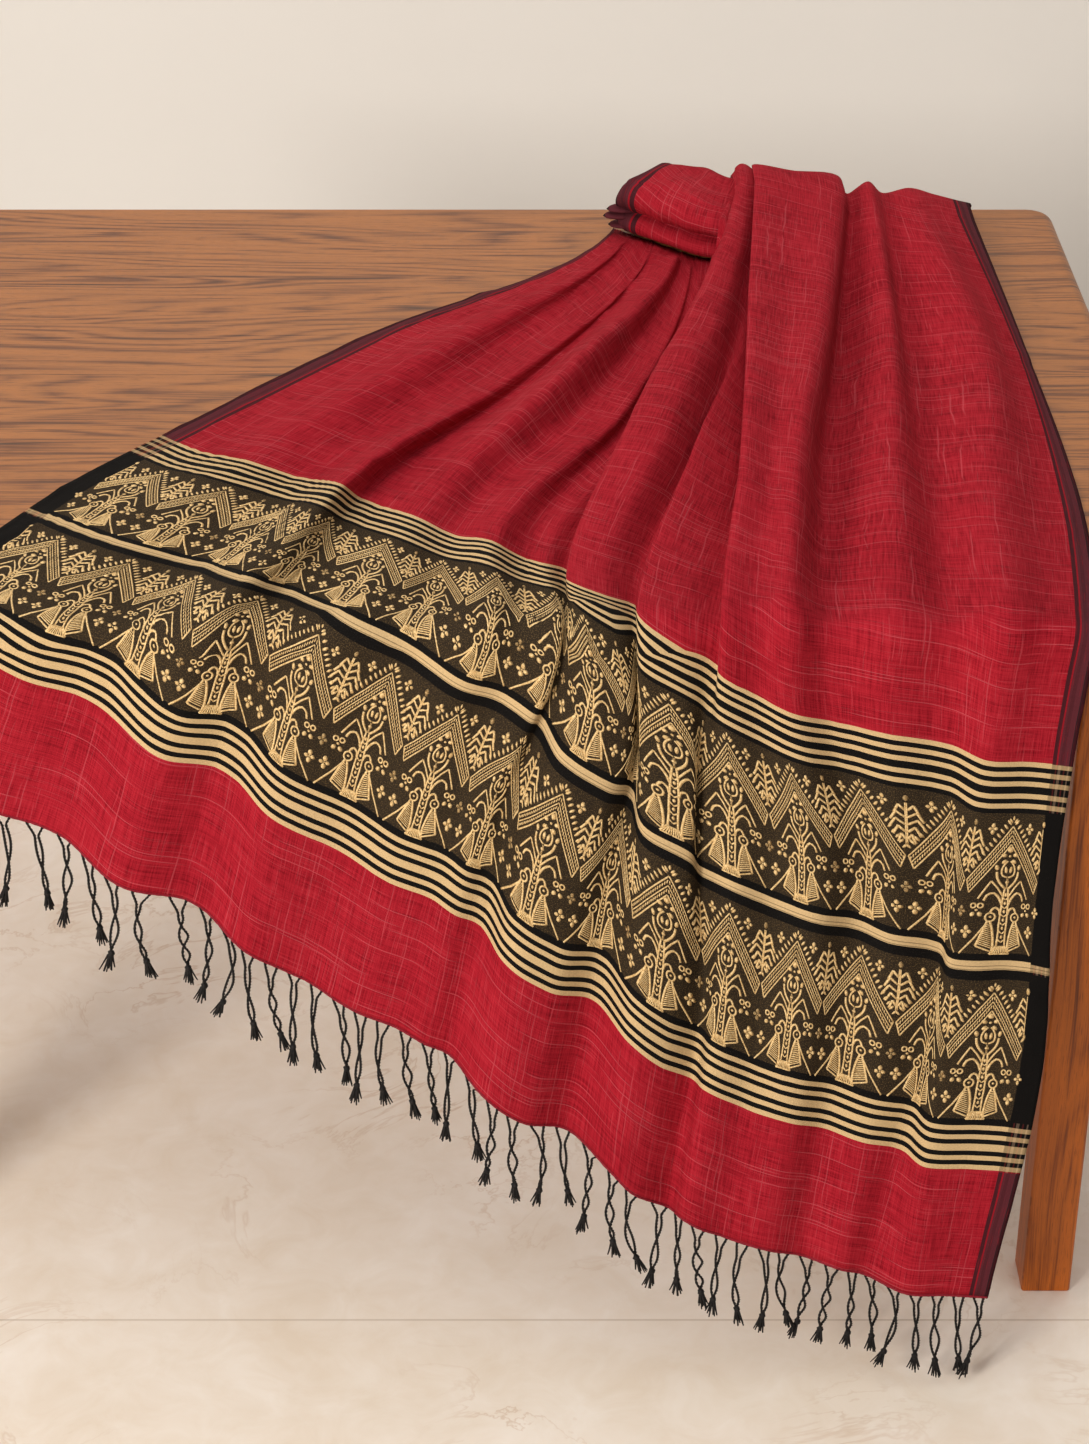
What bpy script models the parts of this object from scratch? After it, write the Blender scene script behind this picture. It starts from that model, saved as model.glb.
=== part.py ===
"""A dupatta stole draped over a table: the cloth, its fringe, its folded stack and the table.

Metres, +Z up, the floor at z = 0, the table's front towards -Y. The cloth is laid out by two
numbers: "across", from its left selvedge to its right one, and "along", up each warp thread
from the hem. A path runs up the hanging cloth, round the table's front edge and back over the
table's top; "place" is the distance along it, 0 at the middle of the edge's rounding, positive
over the top. Each row of FOLDS is one fold line of the cloth.
"""
import math
import random
from collections import namedtuple

import bpy
import numpy as np

# Table
TABLE_HEIGHT = 0.750
TABLE_WIDTH = 1.387
TABLE_DEPTH = 1.040
TOP_THICKNESS = 0.030
TOP_EDGE_RADIUS = 0.014
TOP_CORNER_RADIUS = 0.030
LEG_SIZE = 0.048
LEG_INSET_X = 0.067
LEG_INSET_Y = 0.012
LEG_BEVEL = 0.003
JOINT_GAP = 0.0003
APRON_HEIGHT = 0.075
APRON_THICKNESS = 0.022
APRON_INSET = 0.006

# Cloth
CLOTH_WIDTH = 1.140
WALL = 0.0012
LEAST_LIFT = 0.0012
SEAM_GAP = 0.0004
CLIMB_GAP = 0.0014
CORNER_GAP = 0.0040
EDGE_BLUR = 0.008
FLARE_OUT = 0.115
FLARE_DROP = 0.660
FLARE_POWER = 1.3
ALONG_STATIONS = (0.0, 0.245, 0.405, 0.535, 0.850, 1.250, 1.600)
ALONG_LIMIT = 1.60
ALONG_STEPS = 700

# Where the whole lies: the drape's middle line from the table's middle, and the row's origin
DRAPE_X = 0.1065
ORIGIN_Y = 0.4463

# Fringe
TASSELS = 48
FRINGE_NODES = 4
FRINGE_LENGTH = 0.096
FRINGE_SPREAD = 0.0110
FRINGE_TWIN_GAP = 0.0034
STRAND_WIDTH = 0.0018
KNOT_WIDTH = 0.0030
STRIP_HEIGHT = 0.0035
FLOOR_CLEARANCE = 0.004
HEM_STEP = 0.010
STRAND_MEETS = 0.22
STRAND_KNOT = 0.82
STRAND_SWAY_X = 0.004
STRAND_SWAY_Y = (-0.002, 0.003)
MILLIMETRE = 0.001

Fold = namedtuple(
    "Fold",
    "name across hem "
    "x_hem x_low x_high x_stripe x_mid x_stack x_back "
    "h_hem h_low h_high h_stripe h_mid h_stack h_back",
)

# One row a fold line, in millimetres: its place across the cloth, the place of its hem, then
# how far right it lies and how high it stands at the hem, the lower and upper woven bands, the
# stripes above them, the middle of the table, the stack's front and the stack's top.
FOLDS = [
    Fold("left_selvedge", 0, -70, -625, -520, -447, -372, -184, 75, 75, 0, 0, 0, 0, 0, 2, 2),
    Fold("lifted_border", 55, -120, -560, -468, -400, -328, -143, 80, 80, 6, 8, 8, 6, 9, 4, 4),
    Fold("low_ridge", 110, -160, -505, -413, -344, -282, -104, 90, 90, 2, 4, 8, 10, 16, 6, 6),
    Fold("left_valley", 170, -190, -435, -355, -285, -225, -70, 100, 100, 0, 0, 2, 2, 2, 3, 3),
    Fold("short_crest", 240, -237, -370, -295, -230, -185, -35, 115, 115, 12, 14, 16, 20, 10, 3, 3),
    Fold("long_crease", 280, -256, -320, -255, -205, -170, -15, 125, 125, 0, 0, 0, 0, 0, 2, 2),
    Fold("main_ridge", 340, -299, -270, -210, -150, -120, 20, 145, 145, 6, 6, 6, 8, 30, 14, 14),
    Fold("main_valley", 405, -335, -215, -150, -95, -80, 45, 152, 152, 2, 2, 2, 2, 4, 4, 4),
    Fold("band_ridge", 460, -364, -170, -105, -50, -45, 75, 158, 158, 6, 8, 14, 18, 14, 6, 6),
    Fold("notch", 500, -380, -135, -70, -20, -20, 86, 163, 163, 4, 4, 3, 2, 4, 3, 3),
    Fold("small_ridge", 530, -395, -110, -50, 10, 0, 95, 168, 168, 6, 8, 10, 10, 4, 3, 3),
    Fold("pleat_a_under", 560, -410, -85, -30, 15, 20, 112, 181, 212, 2, 0, 0, 0, 2, 3, 56),
    Fold("pleat_a_edge", 590, -432, -60, -15, 30, 20, 85, 180, 217, 24, 22, 18, 14, 30, 46, 66),
    Fold("pleat_a_top", 640, -464, -20, 30, 71, 52, 120, 200, 228, 24, 20, 16, 14, 38, 52, 70),
    Fold("tuck_under", 685, -486, 25, 65, 84, 79, 150, 220, 245, 2, 0, 0, 0, 10, 30, 56),
    Fold("tuck_edge", 720, -512, 60, 85, 87, 83, 142, 228, 254, 26, 24, 18, 12, 22, 22, 47),
    Fold("tuck_flank", 755, -538, 85, 120, 130, 120, 175, 236, 262, 24, 20, 14, 9, 10, 10, 41),
    Fold("pleat_b_under", 780, -559, 115, 145, 135, 150, 195, 248, 274, 8, 4, 1, 0, 3, 4, 36),
    Fold("pleat_b_edge", 800, -560, 125, 155, 155, 150, 182, 215, 238, 24, 22, 18, 14, 34, 46, 64),
    Fold("pleat_b_top", 845, -583, 165, 195, 200, 185, 210, 255, 285, 18, 16, 13, 10, 34, 48, 62),
    Fold("pleat_b_side", 900, -598, 210, 240, 245, 220, 238, 295, 335, 12, 12, 12, 10, 34, 46, 55),
    Fold("deep_valley", 935, -612, 240, 270, 280, 255, 262, 308, 345, 6, 5, 3, 0, 3, 4, 34),
    Fold("pleat_c_crest", 970, -622, 275, 305, 310, 300, 320, 355, 368, 10, 10, 9, 8, 22, 34, 49),
    Fold("slim_valley", 1005, -632, 300, 345, 355, 350, 360, 378, 385, 4, 3, 2, 0, 6, 10, 35),
    Fold("pleat_d_crest", 1045, -644, 335, 360, 370, 385, 405, 440, 415, 8, 8, 8, 8, 18, 30, 41),
    Fold("right_slope", 1090, -650, 375, 410, 420, 425, 455, 475, 445, 8, 6, 4, 4, 6, 10, 33),
    Fold("right_selvedge", 1140, -655, 415, 455, 455, 465, 498, 500, 485, 4, 4, 3, 0, 1, 2, 22),
]
PLEAT_START = 560
LYING_ROWS = 18
TUCK_IN = 0.010
TUCK_FLATTENS = 0.060
CROWN_PLACE = 0.930
FOOT_SPREAD = 0.006
DRAW_UP = 0.60
STACK_CLEARANCE = 0.0024

Drop = namedtuple("Drop", "place height spread")

# The pleats' way down behind the stack: place in millimetres, then the shares of the height
# that is left and of the pleats' spreading out flat.
DESCENT = [
    Drop(960, 1.00, 0.0),
    Drop(984, 0.97, 0.0),
    Drop(995, 0.80, 0.5),
    Drop(1002, 0.55, 1.0),
    Drop(1008, 0.28, 1.0),
    Drop(1013, 0.06, 1.0),
    Drop(1016, 0.00, 1.0),
]

LAYERS = 2
NOTCH_DEPTH = 0.16
NOTCH_HEIGHT = 0.0024
NOTCH_SLOPE = 0.02
LAYER_DEPTH = 0.06
TOP_SWELL = 0.0008
ROUNDING = (0.06, 0.28, 0.5, 0.72, 0.94)

Slice = namedtuple("Slice", "name front_x front_place back_x back_place top")

# One row a section of the folded stack, in millimetres: where its front and its back stand,
# and how high its top layer lies.
STACK = [
    Slice("left_tip", 76, 941, 128, 1002, 52),
    Slice("left_end", 82, 934, 140, 1012, 61),
    Slice("left_shoulder", 96, 920, 152, 1014, 64),
    Slice("open_part", 132, 884, 180, 1008, 64),
    Slice("under_pleat_a", 172, 846, 208, 982, 56),
    Slice("bend", 212, 834, 234, 974, 38),
    Slice("under_pleat_b", 265, 838, 272, 974, 24),
    Slice("under_valley", 325, 848, 328, 972, 22),
    Slice("under_pleat_d", 395, 862, 395, 968, 18),
    Slice("right_tip", 452, 884, 452, 960, 11),
]

STACK_SPAN = (STACK[0].front_x * MILLIMETRE, STACK[-1].front_x * MILLIMETRE)

STACK_COLOUR = (0.36, 0.012, 0.028)
RED_COLOUR = (0.42, 0.016, 0.036)
WOVEN_COLOUR = (0.16, 0.075, 0.045)
FRINGE_COLOUR = (0.012, 0.010, 0.010)
WALNUT_COLOUR = (0.27, 0.115, 0.045)


def clear_scene():
    """Empty the scene that the script is run in."""
    for thing in list(bpy.data.objects):
        bpy.data.objects.remove(thing, do_unlink=True)


def material(name, colour, roughness):
    """A plain Principled material."""
    made = bpy.data.materials.new(name)
    made.use_nodes = True
    shader = made.node_tree.nodes["Principled BSDF"]
    shader.inputs["Base Color"].default_value = (*colour, 1.0)
    shader.inputs["Roughness"].default_value = roughness
    shader.inputs["Metallic"].default_value = 0.0
    return made


def add_object(name, points, faces, look, location=(0.0, 0.0, 0.0)):
    """One named object from its points and faces."""
    mesh = bpy.data.meshes.new(name)
    mesh.from_pydata([tuple(p) for p in points], [], [tuple(f) for f in faces])
    mesh.materials.append(look)
    mesh.validate()
    made = bpy.data.objects.new(name, mesh)
    made.location = location
    bpy.context.scene.collection.objects.link(made)
    return made


# ---------------------------------------------------------------- the cloth's own surface

def smooth_weights(knots, at):
    """Weights of a smooth curve through values at the knots, a row for each place asked."""
    knots = np.asarray(knots, float)
    at = np.clip(np.atleast_1d(at), knots[0], knots[-1])
    count = len(knots)
    gap = np.diff(knots)
    slopes = np.zeros((count, count))
    slopes[0, :2] = (-1 / gap[0], 1 / gap[0])
    slopes[-1, -2:] = (-1 / gap[-1], 1 / gap[-1])
    for k in range(1, count - 1):
        before, after = gap[k - 1], gap[k]
        slopes[k, k - 1] = -after / (before * (before + after))
        slopes[k, k] = (after - before) / (before * after)
        slopes[k, k + 1] = before / (after * (before + after))
    left = np.clip(np.searchsorted(knots, at) - 1, 0, count - 2)
    t = ((at - knots[left]) / gap[left])[:, None]
    near = np.eye(count)[left]
    far = np.eye(count)[left + 1]
    span = gap[left][:, None]
    return (
        (1 + 2 * t) * (1 - t) ** 2 * near
        + t * t * (3 - 2 * t) * far
        + span * t * (1 - t) ** 2 * slopes[left]
        + span * t * t * (t - 1) * slopes[left + 1]
    )


def fade(low, high, value):
    """0 at low, 1 at high, smooth between."""
    t = np.clip((value - low) / (high - low), 0.0, 1.0)
    return t * t * (3 - 2 * t)


EDGE_ARC = TOP_EDGE_RADIUS * math.pi / 2
FOLD_PLACES = np.array([fold.across for fold in FOLDS]) * MILLIMETRE
FOLD_HEMS = np.array([fold.hem for fold in FOLDS]) * MILLIMETRE
FOLD_SIDES = np.array([fold[3:10] for fold in FOLDS]) * MILLIMETRE
FOLD_LIFTS = np.array([fold[10:17] for fold in FOLDS]) * MILLIMETRE


def carry(side, place, lift):
    """A point of the cloth: the carrying path at its place, moved out along the path's normal."""
    past = EDGE_ARC / 2 - place
    turn = np.clip(past / TOP_EDGE_RADIUS, 0, math.pi / 2)
    drop = np.maximum(past - EDGE_ARC, 0)
    share = drop / FLARE_DROP
    out = FLARE_OUT * share ** FLARE_POWER
    down = np.sqrt(np.maximum(drop ** 2 - out ** 2, 0))
    lean = FLARE_POWER * FLARE_OUT / FLARE_DROP * np.maximum(share, 1e-6) ** (FLARE_POWER - 1)
    lean = np.where(drop > 0, lean, 0)
    y = np.where(past < 0, -past, -TOP_EDGE_RADIUS * np.sin(turn)) - out
    z = TABLE_HEIGHT - TOP_EDGE_RADIUS * (1 - np.cos(turn)) - down
    normal_y = -np.sin(turn) * np.cos(lean)
    normal_z = np.cos(turn) + np.sin(lean)
    size = np.sqrt(normal_y ** 2 + normal_z ** 2)
    x = side + np.zeros_like(y)
    return np.stack([x, y + lift * normal_y / size, z + lift * normal_z / size], axis=-1)


def warp_paths(across):
    """Each warp thread from the hem up: how far along, and its side, lift and place there.

    A warp doesn't stretch, so its place moves on only by what its sideways run, its climb and
    the longer way round the table's edge leave of each step along it.
    """
    along = np.linspace(0.0, ALONG_LIMIT, ALONG_STEPS)
    by_along = smooth_weights(ALONG_STATIONS, along)
    by_fold = smooth_weights(FOLD_PLACES, across)
    side = by_fold @ FOLD_SIDES @ by_along.T
    lift = np.maximum(by_fold @ FOLD_LIFTS @ by_along.T, LEAST_LIFT)
    step = along[1]
    sideways = np.gradient(side, step, axis=1)
    climb = np.gradient(lift, step, axis=1)
    ahead = np.sqrt(np.clip(1 - sideways ** 2 - climb ** 2, 0.05, 1))
    place = np.empty_like(side)
    place[:, 0] = by_fold @ FOLD_HEMS
    half = EDGE_ARC / 2
    tucked = (across < PLEAT_START * MILLIMETRE - SEAM_GAP).astype(float)
    front = stack_line(side, "front_x", "front_place")
    for k in range(1, len(along)):
        before = np.clip(front[:, k] - place[:, k - 1], 0, TUCK_FLATTENS)
        flat = tucked * (1 - fade(0, TUCK_FLATTENS, before))
        lift[:, k] = lift[:, k] * (1 - flat) + LEAST_LIFT * flat
        near_edge = fade(half + EDGE_BLUR, half - EDGE_BLUR, np.abs(place[:, k - 1]))
        longer = 1 + near_edge * lift[:, k] / TOP_EDGE_RADIUS
        place[:, k] = place[:, k - 1] + step * ahead[:, k] / longer
    return along, side, lift, place


def at_places(across, wanted):
    """Cloth points for each warp at the places wanted of it, a row of them for each warp."""
    along, side, lift, place = warp_paths(across)
    sides = np.array([np.interp(w, p, s) for w, p, s in zip(wanted, place, side)])
    lifts = np.array([np.interp(w, p, h) for w, p, h in zip(wanted, place, lift)])
    return carry(sides, wanted, lifts)


def fold_columns(first, last):
    """Places across the cloth: every fold line between two bounds, and halfway between them."""
    inside = [p for p in FOLD_PLACES if first < p < last]
    lines = np.array([first, *inside, last])
    halves = (lines[1:] + lines[:-1]) / 2
    return np.sort(np.concatenate([lines, halves]))


def blend_rows(start, stop, count):
    """Rows between two places of each warp, evenly spaced."""
    share = np.linspace(0, 1, count)[None, :]
    return start[:, None] * (1 - share) + stop[:, None] * share


def grid_normals(points):
    """Unit normals of a grid of points, up and outwards: the mean of the cells' about each."""
    one = points[1:, 1:] - points[:-1, :-1]
    other = points[:-1, 1:] - points[1:, :-1]
    cell = np.cross(one, other)
    cell /= np.linalg.norm(cell, axis=-1, keepdims=True)
    normal = np.zeros_like(points)
    for i in (0, 1):
        for j in (0, 1):
            normal[i:i + cell.shape[0], j:j + cell.shape[1]] += cell
    return normal / np.linalg.norm(normal, axis=-1, keepdims=True)


def wall_from_grid(points, thickness):
    """Points and faces of a closed wall whose middle is a grid of points."""
    columns, rows = points.shape[:2]
    offset = grid_normals(points) * thickness / 2
    upper = (points + offset).reshape(-1, 3)
    lower = (points - offset).reshape(-1, 3)
    total = columns * rows

    def at(i, j):
        return i * rows + j

    faces = []
    for i in range(columns - 1):
        for j in range(rows - 1):
            a, b, c, d = at(i, j), at(i + 1, j), at(i + 1, j + 1), at(i, j + 1)
            rising = np.linalg.norm(points[i, j] - points[i + 1, j + 1])
            falling = np.linalg.norm(points[i + 1, j] - points[i, j + 1])
            halves = ((a, b, c), (a, c, d)) if rising < falling else ((a, b, d), (b, c, d))
            for half in halves:
                faces.append(half)
                faces.append([total + k for k in reversed(half)])
    border = [at(i, 0) for i in range(columns)]
    border += [at(columns - 1, j) for j in range(1, rows)]
    border += [at(i, rows - 1) for i in range(columns - 2, -1, -1)]
    border += [at(0, j) for j in range(rows - 2, 0, -1)]
    for here, there in zip(border, border[1:] + border[:1]):
        faces.append([there, here, total + here, total + there])
    return np.concatenate([upper, lower]), faces


def hanging_stretch(look, location):
    """The woven end: from the hem up the hanging cloth and round the table's front edge."""
    across = fold_columns(0.0, CLOTH_WIDTH)
    hem = smooth_weights(FOLD_PLACES, across) @ FOLD_HEMS
    below = np.full_like(hem, -EDGE_ARC / 2)
    hanging = blend_rows(hem, below, 13)
    rounding = np.linspace(-EDGE_ARC / 2, EDGE_ARC / 2, 6)[1:]
    over = np.tile(rounding, (len(across), 1))
    rows = np.concatenate([hanging, over], axis=1)
    points = at_places(across, rows)
    add_object("hanging_stretch", *wall_from_grid(points, WALL), look, location)


def lying_stretch(look, location):
    """The cloth on the table: from the front edge to the stack, or to its pleats' climb."""
    across = fold_columns(0.0, CLOTH_WIDTH)
    start = np.full_like(across, EDGE_ARC / 2 + SEAM_GAP)
    rows = blend_rows(start, lying_ends(across), LYING_ROWS)
    points = at_places(across, rows)
    add_object("lying_stretch", *wall_from_grid(points, WALL), look, location)


def lying_ends(across):
    """Where each warp of the lying stretch ends: under the stack's front, or at the climb."""
    along, side, lift, place = warp_paths(across)
    ends = np.array([np.interp(ALONG_STATIONS[5], along, p) for p in place])
    for k in np.flatnonzero(across < PLEAT_START * MILLIMETRE - SEAM_GAP):
        met = np.argmax(place[k] > stack_line(side[k], "front_x", "front_place") + TUCK_IN)
        ends[k] = place[k][met]
    return ends


def stack_line(side, key, value):
    """One of the stack's lines, front, back or top, read at places to the right of its end."""
    keys = [getattr(row, key) * MILLIMETRE for row in STACK]
    values = [getattr(row, value) * MILLIMETRE for row in STACK]
    return np.interp(side, keys, values)


def over_stack(side, place):
    """The least lift of a cloth that is drawn over the stack: a steep way up its front."""
    front = stack_line(side, "front_x", "front_place")
    back = stack_line(side, "front_x", "back_place")
    slant = stack_line(side, "front_x", "back_x") - np.clip(side, *STACK_SPAN)
    section = side - np.maximum(slant, 0) * np.clip((place - front) / (back - front), 0, 1)
    top = stack_line(section, "front_x", "top") + STACK_CLEARANCE
    return top * np.clip((place - front) / (DRAW_UP * top) + 1, 0, 1)


def pleated_stretch(look, location):
    """The pleats over the stack: from the climb over its top and down behind it."""
    across = fold_columns(PLEAT_START * MILLIMETRE, CLOTH_WIDTH)
    start = lying_ends(across) + CLIMB_GAP
    start[0] += CORNER_GAP
    crown = np.full_like(start, CROWN_PLACE)
    by_fold = smooth_weights(FOLD_PLACES, across)
    last_side = by_fold @ FOLD_SIDES[:, -1]
    last_lift = by_fold @ FOLD_LIFTS[:, -1]
    first_side = by_fold @ FOLD_SIDES[:, -2]
    near = stack_line(last_side, "front_x", "front_place")
    met_side = first_side + (last_side - first_side) * (near - start) / (crown - start)
    front = stack_line(met_side, "front_x", "front_place")
    before = blend_rows(start, front, 8)
    places = np.concatenate([before, blend_rows(front, crown, 4)[:, 1:]], axis=1)
    share = (places - start[:, None]) / (crown - start)[:, None]
    sides, lifts = np.empty_like(places), np.empty_like(places)
    reach = ALONG_STATIONS[6] - ALONG_STATIONS[5]
    for k in range(len(across)):
        by_along = smooth_weights(ALONG_STATIONS, ALONG_STATIONS[5] + share[k] * reach)
        sides[k] = by_along @ (by_fold[k] @ FOLD_SIDES)
        lifts[k] = by_along @ (by_fold[k] @ FOLD_LIFTS)
    spread = np.sort(last_side) + np.linspace(0, FOOT_SPREAD, len(across))
    for row in DESCENT:
        column = np.full((len(across), 1), row.place * MILLIMETRE)
        places = np.concatenate([places, column], axis=1)
        side = last_side + (spread - last_side) * row.spread
        sides = np.concatenate([sides, side[:, None]], axis=1)
        lifts = np.concatenate([lifts, (row.height * last_lift + LEAST_LIFT)[:, None]], axis=1)
    rise = np.where(places <= CROWN_PLACE, over_stack(sides, places), 0)
    points = carry(sides, places, np.maximum(np.maximum(lifts, rise), LEAST_LIFT))
    add_object("pleated_stretch", *wall_from_grid(points, WALL), look, location)


def stack_outline(layers, top):
    """Outline of the folded stack's section: shares of its depth from the front, and heights."""
    outline = [(NOTCH_DEPTH + NOTCH_SLOPE, 0.0), (NOTCH_DEPTH, NOTCH_HEIGHT)]
    thick = (top - NOTCH_HEIGHT) / layers
    rounds = [(share, LAYER_DEPTH * (1 - math.sin(math.pi * share) ** 0.6)) for share in ROUNDING]
    for k in range(layers):
        outline += [(depth, NOTCH_HEIGHT + (k + share) * thick) for share, depth in rounds]
    outline += [(0.25, top + TOP_SWELL), (0.5, top), (0.75, top + TOP_SWELL)]
    for k in reversed(range(layers)):
        low = 0.0 if k == 0 else NOTCH_HEIGHT + k * thick
        high = NOTCH_HEIGHT + (k + 1) * thick
        outline += [(1 - depth, high - share * (high - low)) for share, depth in rounds]
    return outline


def folded_stack(look, location):
    """The rest of the cloth, folded: one rounded body with its layers shown at the edges."""
    points = []
    for row in STACK:
        outline = stack_outline(LAYERS, row.top * MILLIMETRE)
        front = np.array([row.front_x, row.front_place]) * MILLIMETRE
        back = np.array([row.back_x, row.back_place]) * MILLIMETRE
        for share, height in outline:
            x, place = front + (back - front) * share
            z = TABLE_HEIGHT + SEAM_GAP + height
            points.append((x, place - EDGE_ARC / 2, z))
    ring = len(outline)
    faces = []
    for k in range(len(STACK) - 1):
        for i in range(ring):
            j = (i + 1) % ring
            faces.append([k * ring + i, (k + 1) * ring + i, (k + 1) * ring + j, k * ring + j])
    faces.append(list(range(ring)))
    faces.append(list(range((len(STACK) - 1) * ring, len(STACK) * ring))[::-1])
    add_object("folded_stack", points, faces, look, location)


# ---------------------------------------------------------------- the fringe

def strand_path(root, partner, chance):
    """Middle line of one strand: from its root in to its twin's side, then down to the floor."""
    reach = min(FRINGE_LENGTH, root[2] - FLOOR_CLEARANCE)
    middle = (root + partner) / 2
    side = np.sign(root[0] - partner[0]) * FRINGE_TWIN_GAP / 2
    sideways = chance.uniform(-STRAND_SWAY_X, STRAND_SWAY_X)
    sway = np.array([sideways, chance.uniform(*STRAND_SWAY_Y), 0.0])
    beside = np.array([side, 0.0, 0.0])
    down = np.array([0.0, 0.0, -reach])
    return [
        root,
        middle + beside + STRAND_MEETS * down + STRAND_MEETS * sway,
        middle + beside + STRAND_KNOT * down + sway,
        middle + beside * 1.2 + down + 1.1 * sway,
    ]


def hem_frame(across):
    """Points of the cloth's hem as it is meshed, and the way down from each."""
    lines = fold_columns(0.0, CLOTH_WIDTH)
    along, side, lift, place = warp_paths(lines)
    hem = carry(side[:, 0], place[:, 0], lift[:, 0])
    under = carry(side[:, 0], place[:, 0] - HEM_STEP, lift[:, 0])
    at = [np.interp(across, lines, hem[:, axis]) for axis in range(3)]
    way = [np.interp(across, lines, (under - hem)[:, axis]) for axis in range(3)]
    way = np.stack(way, axis=-1)
    return np.stack(at, axis=-1), way / np.linalg.norm(way, axis=1, keepdims=True)


def strip_columns(first, last):
    """Places across one fringe strip, and where its strands' roots start among them."""
    pitch = CLOTH_WIDTH / TASSELS
    half = STRAND_WIDTH / 2
    middles = (np.arange(first, last) + 0.5) * pitch
    roots = np.sort(np.concatenate([middles - FRINGE_SPREAD / 2, middles + FRINGE_SPREAD / 2]))
    ends = (first * pitch + SEAM_GAP / 2, last * pitch - SEAM_GAP / 2)
    free = [
        p for p in fold_columns(0.0, CLOTH_WIDTH)
        if ends[0] < p < ends[1] and np.abs(roots - p).min() > 2 * half
    ]
    across = np.sort(np.concatenate([ends, roots - half, roots + half, free]))
    return across, np.searchsorted(across, roots - half)


def fringe_strip(number, first, last, chance, look, location):
    """A narrow strip under the hem with the strands of its tassels fused to its lower side."""
    across, roots = strip_columns(first, last)
    upper, step_down = hem_frame(across)
    top = upper + step_down * SEAM_GAP
    bottom = top + step_down * STRIP_HEIGHT
    run = np.gradient(top, axis=0)
    normal = np.cross(run, -step_down)
    normal /= np.linalg.norm(normal, axis=1, keepdims=True)
    points, faces = [], []
    for i in range(len(across)):
        for corner in (top[i], bottom[i]):
            points.append(corner + normal[i] * WALL / 2)
            points.append(corner - normal[i] * WALL / 2)
    for i in range(len(across) - 1):
        a, b = 4 * i, 4 * (i + 1)
        faces.append([a, a + 2, b + 2, b])
        faces.append([a + 1, b + 1, b + 3, a + 3])
        faces.append([a, b, b + 1, a + 1])
        if i not in roots:
            faces.append([a + 2, a + 3, b + 3, b + 2])
    end = 4 * (len(across) - 1)
    faces.append([0, 1, 3, 2])
    faces.append([end, end + 2, end + 3, end + 1])
    for left, right in zip(roots[::2], roots[1::2]):
        seats = [(bottom[k] + bottom[k + 1]) / 2 for k in (left, right)]
        state = chance.getstate()
        for k, seat, partner in ((left, seats[0], seats[1]), (right, seats[1], seats[0])):
            chance.setstate(state)
            add_strand(points, faces, 4 * k, strand_path(seat, partner, chance))
    add_object(f"fringe_{number}", points, faces, look, location)


def add_strand(points, faces, base, path):
    """Draw one strand out of the strip's lower side, four-sided and closed at its end."""
    ring = [base + 2, base + 3, base + 7, base + 6]
    widths = (1.0, KNOT_WIDTH / STRAND_WIDTH, 1.3)
    for middle, wide in zip(path[1:], widths):
        half = STRAND_WIDTH * wide / 2
        start = len(points)
        for x, y in ((-half, -half), (-half, half), (half, half), (half, -half)):
            points.append(middle + np.array([x, y, 0.0]))
        fresh = [start, start + 1, start + 2, start + 3]
        for i in range(4):
            j = (i + 1) % 4
            faces.append([ring[i], fresh[i], fresh[j], ring[j]][::-1])
        ring = fresh
    faces.append(ring)


def fringe(look, location):
    """All the fringe, in a few nodes side by side along the hem."""
    chance = random.Random(7)
    share = TASSELS // FRINGE_NODES
    for number in range(FRINGE_NODES):
        fringe_strip(number + 1, number * share, (number + 1) * share, chance, look, location)


# ---------------------------------------------------------------- the table

def rounded_outline(half_x, half_y, radius, steps):
    """Outline of a rectangle with round corners, anticlockwise from above."""
    outline = []
    for k, (sx, sy) in enumerate(((1, 1), (-1, 1), (-1, -1), (1, -1))):
        for s in range(steps + 1):
            angle = math.pi / 2 * (k + s / steps)
            outline.append((
                sx * (half_x - radius) + radius * math.cos(angle),
                sy * (half_y - radius) + radius * math.sin(angle),
            ))
    return outline


def loops_to_solid(loops):
    """Faces of a closed body from rings of equal length, bottom ring first."""
    ring = len(loops[0])
    points = [p for loop in loops for p in loop]
    faces = [list(range(ring))[::-1]]
    for k in range(len(loops) - 1):
        for i in range(ring):
            j = (i + 1) % ring
            faces.append([k * ring + i, k * ring + j, (k + 1) * ring + j, (k + 1) * ring + i])
    faces.append([(len(loops) - 1) * ring + i for i in range(ring)])
    return points, faces


def table_top(look, centre):
    """The table's top: round corners, and its upper edge rounded all the way about."""
    levels = [(0.0, -TOP_THICKNESS)]
    for s in range(6):
        turn = math.pi / 2 * s / 5
        inset = TOP_EDGE_RADIUS * (1 - math.cos(turn))
        levels.append((inset, TOP_EDGE_RADIUS * (math.sin(turn) - 1)))
    loops = []
    for inset, z in levels:
        outline = rounded_outline(
            TABLE_WIDTH / 2 - inset, TABLE_DEPTH / 2 - inset, TOP_CORNER_RADIUS - inset, 6)
        loops.append([(x, y, z) for x, y in outline])
    add_object("table_top", *loops_to_solid(loops), look, (centre[0], centre[1], TABLE_HEIGHT))


def box(name, size, centre, look, bevel=0.0):
    """A box with its upright edges bevelled."""
    half_x, half_y, half_z = (s / 2 for s in size)
    if bevel:
        outline = rounded_outline(half_x, half_y, bevel, 2)
    else:
        outline = [(half_x, half_y), (-half_x, half_y), (-half_x, -half_y), (half_x, -half_y)]
    loops = [[(x, y, z) for x, y in outline] for z in (-half_z, half_z)]
    add_object(name, *loops_to_solid(loops), look, centre)


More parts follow.
